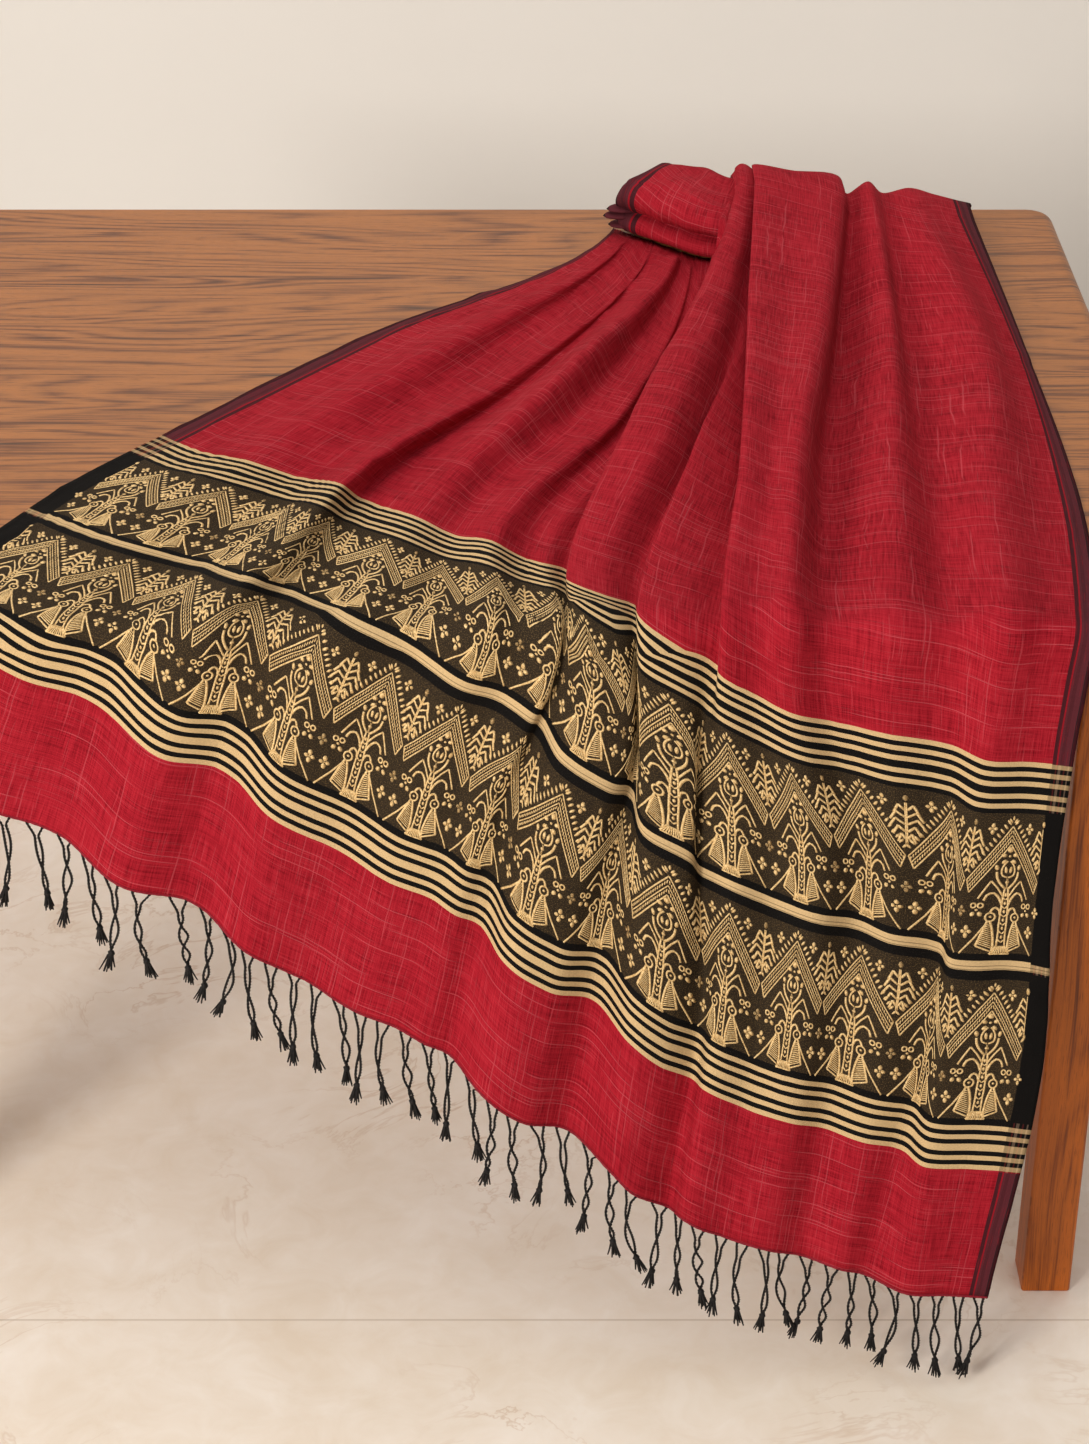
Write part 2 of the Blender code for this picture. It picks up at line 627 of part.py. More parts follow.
def table_frame(look, centre):
    """Four legs, and the aprons between them under the top."""
    under = TABLE_HEIGHT - TOP_THICKNESS - JOINT_GAP
    leg_x = TABLE_WIDTH / 2 - LEG_INSET_X - LEG_SIZE / 2
    leg_y = TABLE_DEPTH / 2 - LEG_INSET_Y - LEG_SIZE / 2
    for tall, sy in (("front", -1), ("back", 1)):
        for hand, sx in (("left", -1), ("right", 1)):
            at = (centre[0] + sx * leg_x, centre[1] + sy * leg_y, under / 2)
            box(f"leg_{tall}_{hand}", (LEG_SIZE, LEG_SIZE, under), at, look, LEG_BEVEL)
    level = under - APRON_HEIGHT / 2
    long_run = 2 * leg_x - LEG_SIZE - 2 * JOINT_GAP
    short_run = 2 * leg_y - LEG_SIZE - 2 * JOINT_GAP
    off_y = leg_y + LEG_SIZE / 2 - APRON_INSET - APRON_THICKNESS / 2
    off_x = leg_x + LEG_SIZE / 2 - APRON_INSET - APRON_THICKNESS / 2
    long_size = (long_run, APRON_THICKNESS, APRON_HEIGHT)
    short_size = (APRON_THICKNESS, short_run, APRON_HEIGHT)
    box("apron_front", long_size, (centre[0], centre[1] - off_y, level), look)
    box("apron_back", long_size, (centre[0], centre[1] + off_y, level), look)
    box("apron_left", short_size, (centre[0] - off_x, centre[1], level), look)
    box("apron_right", short_size, (centre[0] + off_x, centre[1], level), look)


def main():
    clear_scene()
    red = material("red_cloth", RED_COLOUR, 0.85)
    woven = material("woven_end", WOVEN_COLOUR, 0.85)
    folded = material("folded_cloth", STACK_COLOUR, 0.85)
    black = material("fringe_thread", FRINGE_COLOUR, 0.75)
    walnut = material("walnut", WALNUT_COLOUR, 0.45)
    cloth_at = (DRAPE_X, -ORIGIN_Y, 0.0)
    hanging_stretch(woven, cloth_at)
    lying_stretch(red, cloth_at)
    pleated_stretch(red, cloth_at)
    folded_stack(folded, cloth_at)
    fringe(black, cloth_at)
    table_centre = (0.0, TABLE_DEPTH / 2 - TOP_EDGE_RADIUS - ORIGIN_Y)
    table_top(walnut, table_centre)
    table_frame(walnut, table_centre)


main()
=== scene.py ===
"""The looks of a dupatta stole on a walnut table: cloth, woven ends, fringe, stack, table.

Metres, +Z up, the floor at z = 0, the table's front towards -Y. The cloth is laid out by two
numbers: "across", from its left selvedge to its right one, and "along", up each warp thread from
the hem. "Place" is the distance along the way that carries it: up the hanging cloth, round the
table's front edge, 0 at the middle of the rounding, and back over the table's top.
"""

import logging
import math
from dataclasses import dataclass
from enum import Enum
from typing import NamedTuple, Sequence

import bpy
import numpy as np
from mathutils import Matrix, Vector


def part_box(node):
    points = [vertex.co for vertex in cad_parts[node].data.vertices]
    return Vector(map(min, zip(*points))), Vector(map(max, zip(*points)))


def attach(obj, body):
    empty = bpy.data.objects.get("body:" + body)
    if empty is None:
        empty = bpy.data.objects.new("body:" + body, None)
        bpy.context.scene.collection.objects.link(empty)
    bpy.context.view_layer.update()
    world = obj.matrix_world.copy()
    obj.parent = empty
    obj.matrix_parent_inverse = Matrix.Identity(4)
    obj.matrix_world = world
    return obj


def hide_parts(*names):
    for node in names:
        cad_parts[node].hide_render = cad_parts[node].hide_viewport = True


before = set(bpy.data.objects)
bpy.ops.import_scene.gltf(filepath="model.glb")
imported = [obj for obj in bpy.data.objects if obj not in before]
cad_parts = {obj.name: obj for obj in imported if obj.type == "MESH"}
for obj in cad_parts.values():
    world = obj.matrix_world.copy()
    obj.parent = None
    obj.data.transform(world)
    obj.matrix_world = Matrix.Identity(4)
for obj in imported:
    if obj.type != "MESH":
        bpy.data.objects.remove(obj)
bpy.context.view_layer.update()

logging.basicConfig(level=logging.INFO, format="%(message)s")
log = logging.getLogger("stole")

MILLIMETRE = 0.001
ROOT = "root"

# Sizes shared with the table and the drape
TABLE_HEIGHT = 0.750
EDGE_RADIUS = 0.014
EDGE_ARC = EDGE_RADIUS * math.pi / 2
DRAPE_X = 0.1065
ORIGIN_Y = 0.4463
CLOTH_WIDTH = 1.140


class Slot(Enum):
    """The record's material slots."""

    RED = "red_cloth"
    WOVEN = "woven_end"
    FOLDED = "folded_cloth"
    FRINGE = "fringe_thread"
    WALNUT = "walnut"


# ---------------------------------------------------------------- meshes

def put_mesh(
    name: str,
    points: np.ndarray,
    faces: Sequence[np.ndarray],
    finish: bpy.types.Material,
    uv: np.ndarray | None = None,
    smooth: bool = True,
) -> bpy.types.Object:
    """Make one object from whole arrays.

    Args:
        name: The object's name.
        points: The points, a row each.
        faces: Arrays of faces, each array with a row of corners for every face.
        finish: Its material.
        uv: A pair of pattern coordinates for each point.
        smooth: Whether its faces are shaded smooth.

    Returns:
        The object, at the origin.
    """
    corners = np.concatenate([np.asarray(f, np.int32).ravel() for f in faces])
    sizes = np.concatenate([np.full(len(f), np.asarray(f).shape[1]) for f in faces])
    starts = np.concatenate([[0], np.cumsum(sizes)[:-1]]).astype(np.int32)
    mesh = bpy.data.meshes.new(name)
    mesh.vertices.add(len(points))
    mesh.vertices.foreach_set("co", np.asarray(points, np.float32).ravel())
    mesh.loops.add(len(corners))
    mesh.loops.foreach_set("vertex_index", corners)
    mesh.polygons.add(len(sizes))
    mesh.polygons.foreach_set("loop_start", starts)
    mesh.update(calc_edges=True)
    if uv is not None:
        layer = mesh.uv_layers.new(name="cloth_place")
        layer.data.foreach_set("uv", np.asarray(uv, np.float32)[corners].ravel())
    mesh.validate()
    mesh.polygons.foreach_set("use_smooth", np.full(len(mesh.polygons), smooth))
    mesh.materials.append(finish)
    made = bpy.data.objects.new(name, mesh)
    bpy.context.scene.collection.objects.link(made)
    return made


def settle(piece: bpy.types.Object, slot: Slot, *nodes: str) -> bpy.types.Object:
    """Give a piece its body, hide the solids that it stands for, and log it.

    Args:
        piece: The finished piece.
        slot: The material slot that its finish belongs to; not used.
        nodes: The solids that it replaces.

    Returns:
        The same piece.
    """
    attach(piece, ROOT)
    if nodes:
        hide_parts(*nodes)
    log.info("%s: %d faces", piece.name, len(piece.data.polygons))
    return piece


def grid_faces(columns: int, rows: int, start: int = 0) -> np.ndarray:
    """Quads of a grid of points, numbered column by column, upwards side out."""
    at = start + np.arange(columns * rows).reshape(columns, rows)
    return np.stack([at[:-1, :-1], at[1:, :-1], at[1:, 1:], at[:-1, 1:]], axis=-1).reshape(-1, 4)


def tube_faces(rings: int, sides: int) -> np.ndarray:
    """Quads round a tube whose rings are numbered one after the other, outside out."""
    at = np.arange(rings * sides).reshape(rings, sides)
    on = np.roll(at, -1, axis=1)
    return np.stack([at[:-1], on[:-1], on[1:], at[1:]], axis=-1).reshape(-1, 4)


def tube_body(rings: int, sides: int, turned: bool = False) -> list[np.ndarray]:
    """A closed tube's faces: its quads and its two ends.

    Args:
        rings: How many rings it has, numbered one after the other.
        sides: How many points a ring has.
        turned: Whether the rings run the other way, so that the faces are turned over.

    Returns:
        The two arrays of faces, outside out.
    """
    quads = tube_faces(rings, sides)
    ends = np.array([np.arange(sides)[::-1], (rings - 1) * sides + np.arange(sides)])
    return [quads[:, ::-1], ends[:, ::-1]] if turned else [quads, ends]


def turns(count: int) -> np.ndarray:
    """Even angles once round."""
    return np.arange(count) / count * 2 * math.pi


def unit(ways: np.ndarray) -> np.ndarray:
    """Each way with a length of one."""
    return ways / np.linalg.norm(ways, axis=-1, keepdims=True)


def run_of(path: np.ndarray) -> np.ndarray:
    """How far along a path each of its points is."""
    return np.concatenate([[0], np.cumsum(np.linalg.norm(np.diff(path, axis=0), axis=1))])


Part = tuple[np.ndarray, list[np.ndarray]]


def joined_up(parts: Sequence[Part]) -> Part:
    """The parts of a piece as one.

    Args:
        parts: Each part's points and its arrays of faces.

    Returns:
        All the points, and an array of faces for each number of corners.
    """
    starts = np.cumsum([0] + [len(points) for points, _ in parts[:-1]])
    by_corners: dict[int, list[np.ndarray]] = {}
    for (_, faces), start in zip(parts, starts):
        for array in faces:
            by_corners.setdefault(array.shape[1], []).append(array + start)
    return np.concatenate([points for points, _ in parts]), [
        np.concatenate(arrays) for arrays in by_corners.values()]


def point_normals(points: np.ndarray, quads: np.ndarray) -> np.ndarray:
    """Unit normals of a surface's points: each quad's cross of diagonals, summed at corners."""
    cross = np.cross(
        points[quads[:, 2]] - points[quads[:, 0]], points[quads[:, 3]] - points[quads[:, 1]])
    cross /= np.maximum(np.linalg.norm(cross, axis=1, keepdims=True), 1e-12)
    total = np.zeros_like(points)
    for corner in range(4):
        np.add.at(total, quads[:, corner], cross)
    return total / np.maximum(np.linalg.norm(total, axis=1, keepdims=True), 1e-9)


def closed_wall(
    points: np.ndarray, quads: np.ndarray, thickness: float
) -> tuple[np.ndarray, list[np.ndarray]]:
    """Turn an open surface into a closed wall.

    Each point moves half the thickness out and in along its normal, the inner face is the outer
    one turned over, and every edge that only one quad uses gets a strip between the two.

    Args:
        points: The surface's points.
        quads: Its faces.
        thickness: The wall's thickness.

    Returns:
        The wall's points, outer ones first, and its faces.
    """
    total = len(points)
    offset = point_normals(points, quads) * thickness / 2
    here = quads.ravel()
    there = np.roll(quads, -1, axis=1).ravel()
    rim = ~np.isin(here.astype(np.int64) * total + there, there.astype(np.int64) * total + here)
    here, there = here[rim], there[rim]
    strip = np.stack([there, here, here + total, there + total], axis=-1)
    return np.concatenate([points + offset, points - offset]), [
        quads, quads[:, ::-1] + total, strip]


# ---------------------------------------------------------------- the cloth's form

class Fold(NamedTuple):
    """One fold line, in millimetres: its place across, its hem's place, and seven stations."""

    across: float
    hem: float
    side: tuple[float, ...]
    lift: tuple[float, ...]


FOLDS = [
    Fold(0, -70, (-625, -520, -447, -372, -184, 75, 75), (0, 0, 0, 0, 0, 2, 2)),  # left selvedge
    Fold(55, -120, (-560, -468, -400, -328, -143, 80, 80), (6, 8, 8, 6, 9, 4, 4)),  # lifted border
    Fold(110, -160, (-505, -413, -344, -282, -104, 90, 90), (8, 9, 11, 13, 18, 6, 6)),  # low ridge
    Fold(170, -190, (-435, -355, -285, -225, -70, 100, 100), (0, 0, 0, 0, 0, 3, 3)),  # left valley
    Fold(240, -237, (-370, -295, -230, -185, -35, 115, 115),
         (17, 18, 20, 23, 11, 3, 3)),  # short crest
    Fold(280, -256, (-320, -255, -205, -170, -15, 125, 125), (0, 0, 0, 0, 0, 2, 2)),  # long crease
    Fold(340, -299, (-270, -210, -150, -120, 20, 145, 145),
         (12, 12, 11, 13, 31, 14, 14)),  # main ridge
    Fold(405, -335, (-215, -150, -95, -80, 45, 152, 152), (2, 2, 2, 2, 4, 4, 4)),  # main valley
    Fold(460, -364, (-170, -105, -50, -45, 75, 158, 158), (6, 8, 14, 18, 14, 6, 6)),  # band ridge
    Fold(500, -380, (-135, -70, -20, -20, 86, 163, 163), (4, 4, 3, 2, 4, 3, 3)),  # notch
    Fold(530, -395, (-110, -50, 10, 0, 95, 168, 168), (6, 8, 10, 10, 4, 3, 3)),  # small ridge
    Fold(560, -410, (-85, -30, 15, 20, 112, 181, 212), (2, 0, 0, 0, 2, 3, 56)),  # pleat a under
    Fold(590, -432, (-60, -15, 30, 20, 85, 180, 217),
         (24, 22, 18, 14, 30, 46, 66)),  # pleat a edge
    Fold(640, -464, (-20, 30, 71, 52, 120, 200, 228), (24, 20, 16, 14, 38, 52, 70)),  # pleat a top
    Fold(685, -486, (25, 65, 84, 79, 150, 220, 245), (2, 0, 0, 0, 10, 30, 56)),  # tuck under
    Fold(720, -512, (60, 85, 87, 83, 142, 228, 254), (26, 24, 18, 12, 22, 22, 47)),  # tuck edge
    Fold(755, -538, (85, 120, 130, 120, 175, 236, 262), (24, 20, 14, 9, 10, 10, 41)),  # tuck flank
    Fold(780, -559, (115, 145, 135, 150, 195, 248, 274), (8, 4, 1, 0, 3, 4, 36)),  # pleat b under
    Fold(800, -560, (125, 155, 155, 150, 182, 215, 238),
         (24, 22, 18, 14, 34, 46, 64)),  # pleat b edge
    Fold(845, -583, (165, 195, 200, 185, 210, 255, 285),
         (18, 16, 13, 10, 34, 48, 62)),  # pleat b top
    Fold(900, -598, (210, 240, 245, 220, 238, 295, 335),
         (18, 19, 19, 15, 36, 46, 55)),  # pleat b side
    Fold(935, -612, (240, 270, 280, 255, 262, 308, 345), (3, 2, 0, 0, 0, 2, 34)),  # deep valley
    Fold(970, -622, (275, 305, 310, 300, 320, 355, 368),
         (10, 10, 9, 8, 22, 34, 49)),  # pleat c crest
    Fold(1005, -632, (300, 345, 355, 350, 360, 378, 385), (2, 0, 0, 0, 3, 8, 35)),  # slim valley
    Fold(1045, -644, (335, 360, 370, 385, 405, 440, 415),
         (14, 15, 15, 13, 21, 30, 41)),  # pleat d crest
    Fold(1090, -650, (375, 410, 420, 425, 455, 475, 445), (8, 6, 4, 4, 6, 10, 33)),  # right slope
    Fold(1140, -655, (415, 455, 455, 465, 498, 500, 485),
         (4, 4, 3, 0, 1, 2, 22)),  # right selvedge
]


class Slice(NamedTuple):
    """One section of the folded stack, in millimetres: its front, back and top's height."""

    front_x: float
    front_place: float
    back_x: float
    back_place: float
    top: float


STACK = [
    Slice(76, 941, 128, 1002, 52),
    Slice(82, 934, 140, 1012, 61),
    Slice(96, 920, 152, 1014, 64),
    Slice(132, 884, 180, 1008, 64),
    Slice(172, 846, 208, 982, 61),
    Slice(198, 838, 224, 977, 54),
    Slice(214, 834, 236, 974, 38),
    Slice(265, 838, 272, 974, 24),
    Slice(325, 848, 328, 972, 22),
    Slice(395, 862, 395, 968, 18),
    Slice(452, 884, 452, 960, 11),
]


class Drop(NamedTuple):
    """A step of the pleats' way down behind the stack: place, share of height, share of spread."""

    place: float
    height: float
    spread: float


DESCENT = [
    Drop(960, 1.00, 0.0),
    Drop(984, 0.97, 0.0),
    Drop(995, 0.80, 0.5),
    Drop(1002, 0.55, 1.0),
    Drop(1008, 0.28, 1.0),
    Drop(1013, 0.06, 1.0),
    Drop(1016, 0.00, 1.0),
]


def smooth_weights(knots: Sequence[float], at: np.ndarray) -> np.ndarray:
    """Weights of a smooth curve through values at the knots, cubic between them.

    Args:
        knots: Where the values stand.
        at: The places asked.

    Returns:
        A row of weights for each place asked.
    """
    knots = np.asarray(knots, float)
    at = np.clip(np.atleast_1d(at), knots[0], knots[-1])
    count = len(knots)
    gap = np.diff(knots)
    slopes = np.zeros((count, count))
    slopes[0, :2] = (-1 / gap[0], 1 / gap[0])
    slopes[-1, -2:] = (-1 / gap[-1], 1 / gap[-1])
    mid = np.arange(1, count - 1)
    before, after = gap[mid - 1], gap[mid]
    slopes[mid, mid - 1] = -after / (before * (before + after))
    slopes[mid, mid] = (after - before) / (before * after)
    slopes[mid, mid + 1] = before / (after * (before + after))
    left = np.clip(np.searchsorted(knots, at) - 1, 0, count - 2)
    t = ((at - knots[left]) / gap[left])[:, None]
    near, far = np.eye(count)[left], np.eye(count)[left + 1]
    span = gap[left][:, None]
    return (
        (1 + 2 * t) * (1 - t) ** 2 * near
        + t * t * (3 - 2 * t) * far
        + span * t * (1 - t) ** 2 * slopes[left]
        + span * t * t * (t - 1) * slopes[left + 1]
    )


def fade(low: float, high: float, value: np.ndarray) -> np.ndarray:
    """0 at low, 1 at high, smooth between."""
    t = np.clip((value - low) / (high - low), 0.0, 1.0)
    return t * t * (3 - 2 * t)


def part_way(near: np.ndarray, far: np.ndarray, share: np.ndarray) -> np.ndarray:
    """Values a share of the way from one to the other."""
    return near * (1 - share) + far * share


def stack_line(side: np.ndarray, value: str) -> np.ndarray:
    """One of the stack's lines, front, back or top, read where its front is that far right."""
    keys = [row.front_x * MILLIMETRE for row in STACK]
    values = [getattr(row, value) * MILLIMETRE for row in STACK]
    return np.interp(side, keys, values)


@dataclass(frozen=True)
class Drape:
    """How the cloth lies: its fold lines carried up the front, round the edge and over the top."""

    flare_out: float = 0.115
    flare_drop: float = 0.660
    flare_power: float = 1.3
    least_lift: float = 0.0012
    least_ahead: float = 0.05
    crisper: float = 1.22
    crisp_stations: int = 5
    stations: tuple[float, ...] = (0.0, 0.245, 0.405, 0.535, 0.850, 1.250, 1.600)
    steps: int = 700
    pleat_start: float = 0.560
    tuck_in: float = 0.022
    tuck_flattens: float = 0.038
    edge_blur: float = 0.008
    crown_place: float = 0.930
    foot_spread: float = 0.006
    draw_up: float = 0.60
    stack_clearance: float = 0.0024
    descent_rows: tuple[int, int] = (4, 15)

    def by_fold(self, across: np.ndarray) -> np.ndarray:
        """Weights of the fold lines at places across the cloth."""
        return smooth_weights([fold.across * MILLIMETRE for fold in FOLDS], across)

    def sides(self) -> np.ndarray:
        """How far right each fold line lies at its stations."""
        return np.array([fold.side for fold in FOLDS]) * MILLIMETRE

    def lifts(self) -> np.ndarray:
        """How high each fold line stands at its stations, a little crisper before the stack."""
        lifts = np.array([fold.lift for fold in FOLDS]) * MILLIMETRE
        lifts[:, :self.crisp_stations] *= self.crisper
        return lifts

    def tucked(self, across: np.ndarray) -> np.ndarray:
        """Which warps end under the stack's front, left of the pleats that climb it."""
        return across < self.pleat_start - 1e-4

    def carry(self, side: np.ndarray, place: np.ndarray, lift: np.ndarray) -> np.ndarray:
        """Points in the room: the carrying way at a place, moved out along the way's normal.

        Args:
            side: How far right of the drape's middle line.
            place: The distance along the carrying way.
            lift: The height over it.

        Returns:
            Points in the row's frame.
        """
        past = EDGE_ARC / 2 - place
        turn = np.clip(past / EDGE_RADIUS, 0, math.pi / 2)
        drop = np.maximum(past - EDGE_ARC, 0)
        share = drop / self.flare_drop
        out = self.flare_out * share ** self.flare_power
        down = np.sqrt(np.maximum(drop ** 2 - out ** 2, 0))
        slope = self.flare_power * self.flare_out / self.flare_drop
        lean = slope * np.maximum(share, 1e-6) ** (self.flare_power - 1)
        lean = np.where(drop > 0, lean, 0)
        y = np.where(past < 0, -past, -EDGE_RADIUS * np.sin(turn)) - out
        z = TABLE_HEIGHT - EDGE_RADIUS * (1 - np.cos(turn)) - down
        normal_y = -np.sin(turn) * np.cos(lean)
        normal_z = np.cos(turn) + np.sin(lean)
        raised = lift / np.sqrt(normal_y ** 2 + normal_z ** 2)
        return np.stack(np.broadcast_arrays(
            side + DRAPE_X, y + raised * normal_y - ORIGIN_Y, z + raised * normal_z), axis=-1)

    def warp_paths(self, across: np.ndarray) -> tuple[np.ndarray, ...]:
        """Each warp thread from the hem up.

        A warp doesn't stretch, so its place moves on only by what its sideways run, its climb
        and the longer way round the table's edge leave of each step along it.

        Args:
            across: The warps' places across the cloth.

        Returns:
            The steps along, and each warp's side, lift and place there.
        """
        along = np.linspace(0.0, self.stations[-1], self.steps)
        by_along = smooth_weights(self.stations, along)
        by_fold = self.by_fold(across)
        side = by_fold @ self.sides() @ by_along.T
        lift = np.maximum(by_fold @ self.lifts() @ by_along.T, self.least_lift)
        step = along[1]
        sideways = np.gradient(side, step, axis=1)
        climb = np.gradient(lift, step, axis=1)
        ahead = np.sqrt(np.clip(1 - sideways ** 2 - climb ** 2, self.least_ahead, 1))
        place = np.empty_like(side)
        place[:, 0] = by_fold @ np.array([fold.hem for fold in FOLDS]) * MILLIMETRE
        half, blur = EDGE_ARC / 2, self.edge_blur
        tucked = self.tucked(across).astype(float)
        front = stack_line(side, "front_place")
        for k in range(1, len(along)):
            before = np.clip(front[:, k] - place[:, k - 1], 0, self.tuck_flattens)
            flat = tucked * (1 - fade(0, self.tuck_flattens, before))
            lift[:, k] = part_way(lift[:, k], self.least_lift, flat)
            near_edge = fade(half + blur, half - blur, np.abs(place[:, k - 1]))
            longer = 1 + near_edge * lift[:, k] / EDGE_RADIUS
            place[:, k] = place[:, k - 1] + step * ahead[:, k] / longer
        return along, side, lift, place

    def over_stack(self, side: np.ndarray, place: np.ndarray) -> np.ndarray:
        """The least lift of a cloth that is drawn over the stack: a steep way up its front."""
        front = stack_line(side, "front_place")
        back = stack_line(side, "back_place")
        span = (STACK[0].front_x * MILLIMETRE, STACK[-1].front_x * MILLIMETRE)
        slant = stack_line(side, "back_x") - np.clip(side, *span)
        share = np.clip((place - front) / (back - front), 0, 1)
        section = side - np.maximum(slant, 0) * share
        top = stack_line(section, "top") + self.stack_clearance
        return top * np.clip((place - front) / (self.draw_up * top) + 1, 0, 1)


class Wave(NamedTuple):
    """A slow wave over the cloth: how fast it turns across and along, and where it starts."""

    across: float
    along: float
    start: float


CRUMPLES = [
    Wave(31.0, 118.0, 0.4), Wave(74.0, -52.0, 2.1), Wave(12.0, 152.0, 4.0),
    Wave(128.0, 26.0, 1.2), Wave(-58.0, 83.0, 5.3), Wave(95.0, 97.0, 3.3),
]


@dataclass
class ClothSurface:
    """The cloth's middle surface as a grid of warps and rows, and what lies over its stack.

    A warp's rows run from the hem to the table's edge, close together round it, and on to the
    warp's end under the stack's front, or to the place where its pleat starts to climb.
    """

    drape: Drape
    columns: int = 286
    hanging_rows: int = 56
    edge_rows: int = 9
    lying_rows: int = 62
    climbing_rows: int = 16
    crown_rows: int = 12
    crumple: float = 0.0013

    def __post_init__(self) -> None:
        """Work the grid out."""
        even = np.linspace(0.0, CLOTH_WIDTH, self.columns)
        start = self.drape.pleat_start
        self.across = np.sort(np.append(even[np.abs(even - start) > 1e-3], [start - 5e-4, start]))
        along, side, lift, place = self.drape.warp_paths(self.across)
        ends = self._ends(along, side, place)
        half = EDGE_ARC / 2
        below = self._rows(place[:, 0], np.full_like(ends, -half), self.hanging_rows)
        round_edge = np.tile(np.linspace(-half, half, self.edge_rows), (len(ends), 1))
        lying = self._rows(np.full_like(ends, half), ends, self.lying_rows)
        wanted = np.concatenate([below, round_edge[:, 1:], lying[:, 1:]], axis=1)
        sides, lifts, alongs = (
            np.array([np.interp(w, p, v) for w, p, v in zip(wanted, place, values)])
            for values in (side, lift, np.tile(along, (len(ends), 1))))
        self.along = alongs
        lifts = lifts + self._crumples(alongs)
        self.points = self.drape.carry(sides, wanted, lifts)
        self.ends = ends
        flat = self.points.reshape(-1, 3)
        quads = grid_faces(*self.points.shape[:2])
        self.normals = point_normals(flat, quads).reshape(self.points.shape)

    def _crumples(self, along: np.ndarray) -> np.ndarray:
        """Small rises where the cloth was folded and worn: slow waves that come and go.

        Each wave is added under its own slow cloud, and what falls below nothing is cut off,
        so that the cloth never sinks.
        """
        across = self.across[:, None]
        rise = np.zeros_like(along)
        for number, wave in enumerate(CRUMPLES):
            cloud = np.sin(across * (9.0 + 2.3 * number) + wave.start) * np.sin(
                along * (13.0 - 1.7 * number) + 2 * wave.start)
            rise += np.sin(across * wave.across + along * wave.along + wave.start
                           + 1.6 * np.sin(along * 21.0 + across * 17.0)) * np.clip(cloud, 0, 1)
        return np.clip(rise, 0, 3) * self.crumple

    @staticmethod
    def _rows(start: np.ndarray, stop: np.ndarray, count: int) -> np.ndarray:
        """Evenly spaced rows between two places of each warp."""
        share = np.linspace(0, 1, count)[None, :]
        return part_way(start[:, None], stop[:, None], share)

    def _ends(self, along: np.ndarray, side: np.ndarray, place: np.ndarray) -> np.ndarray:
        """Each warp's last place: tucked under the stack's front, or where its pleat climbs."""
        at = np.argmin(np.abs(along - self.drape.stations[5]))
        climbing = place[:, at]
        front = stack_line(side, "front_place") + self.drape.tuck_in
        met = np.argmax(place > front, axis=1)
        under = place[np.arange(len(place)), met]
        return np.where(self.drape.tucked(self.across), under, climbing)

    def lay(self, across: np.ndarray, along: np.ndarray, over: np.ndarray) -> np.ndarray:
        """Points over the cloth: between two warps, each read at the same way along.

        Args:
            across: Places across the cloth.
            along: Ways along it, from the hem.
            over: Heights over its middle surface.

        Returns:
            Points in the row's frame.
        """
        across = np.clip(across, 0.0, CLOTH_WIDTH)
        column = np.clip(np.searchsorted(self.across, across) - 1, 0, len(self.across) - 2)
        gap = self.across[column + 1] - self.across[column]
        share = ((across - self.across[column]) / gap)[:, None]
        near, near_normal = self._read(column, along)
        far, far_normal = self._read(column + 1, along)
        normal = unit(part_way(near_normal, far_normal, share))
        return part_way(near, far, share) + normal * over[:, None]

    def _read(self, column: np.ndarray, along: np.ndarray) -> tuple[np.ndarray, np.ndarray]:
        """Points and normals of warps at ways along them.

        One search finds every row, as the warps' ways are put one after the other, far apart.
        """
        rows, apart = self.along.shape[1], 10.0
        keys = (self.along + apart * np.arange(len(self.across))[:, None]).ravel()
        found = np.searchsorted(keys, along + apart * column) - 1
        row = np.clip(found - column * rows, 0, rows - 2)
        low, high = self.along[column, row], self.along[column, row + 1]
        share = np.clip((along - low) / (high - low), 0, 1)[:, None]
        return tuple(part_way(table[column, row], table[column, row + 1], share)
                     for table in (self.points, self.normals))

    def pleats(self) -> tuple[np.ndarray, np.ndarray]:
        """Rows of the pleats over the stack: up its front, over its top and down behind it.

        Returns:
            Points of the pleats' columns and rows, without the row where they start, and how
            far along the cloth each is.
        """
        drape = self.drape
        kept = ~drape.tucked(self.across)
        across, start = self.across[kept], self.ends[kept]
        by_fold = drape.by_fold(across)
        side_table, lift_table = drape.sides(), drape.lifts()
        last_side, last_lift = by_fold @ side_table[:, -1], by_fold @ lift_table[:, -1]
        first_side = by_fold @ side_table[:, -2]
        crown = np.full_like(start, drape.crown_place)
        near = stack_line(last_side, "front_place")
        met_side = first_side + (last_side - first_side) * (near - start) / (crown - start)
        front = stack_line(met_side, "front_place")
        places = np.concatenate([
            self._rows(start, front, self.climbing_rows)[:, 1:],
            self._rows(front, crown, self.crown_rows)[:, 1:]], axis=1)
        share = (places - start[:, None]) / (crown - start)[:, None]
        reach = drape.stations[6] - drape.stations[5]
        shape = places.shape
        by_along = smooth_weights(drape.stations, (drape.stations[5] + share * reach).ravel())
        by_along = by_along.reshape(*shape, -1)
        sides = np.einsum("cra,ca->cr", by_along, by_fold @ side_table)
        lifts = np.einsum("cra,ca->cr", by_along, by_fold @ lift_table)
        rise = drape.over_stack(sides, places)
        lifts = np.maximum(np.maximum(lifts, rise), drape.least_lift)
        knots = np.array([row.place for row in DESCENT]) * MILLIMETRE
        level_rows, down_rows = drape.descent_rows
        fine = np.concatenate([np.linspace(knots[0], knots[1], level_rows)[:-1],
                               np.linspace(knots[1], knots[-1], down_rows)])
        height = np.interp(fine, knots, [row.height for row in DESCENT])
        spread = np.interp(fine, knots, [row.spread for row in DESCENT])
        flat_side = np.sort(last_side) + np.linspace(0, drape.foot_spread, len(across))
        down_side = last_side[:, None] + (flat_side - last_side)[:, None] * spread
        down_lift = height * last_lift[:, None] + drape.least_lift
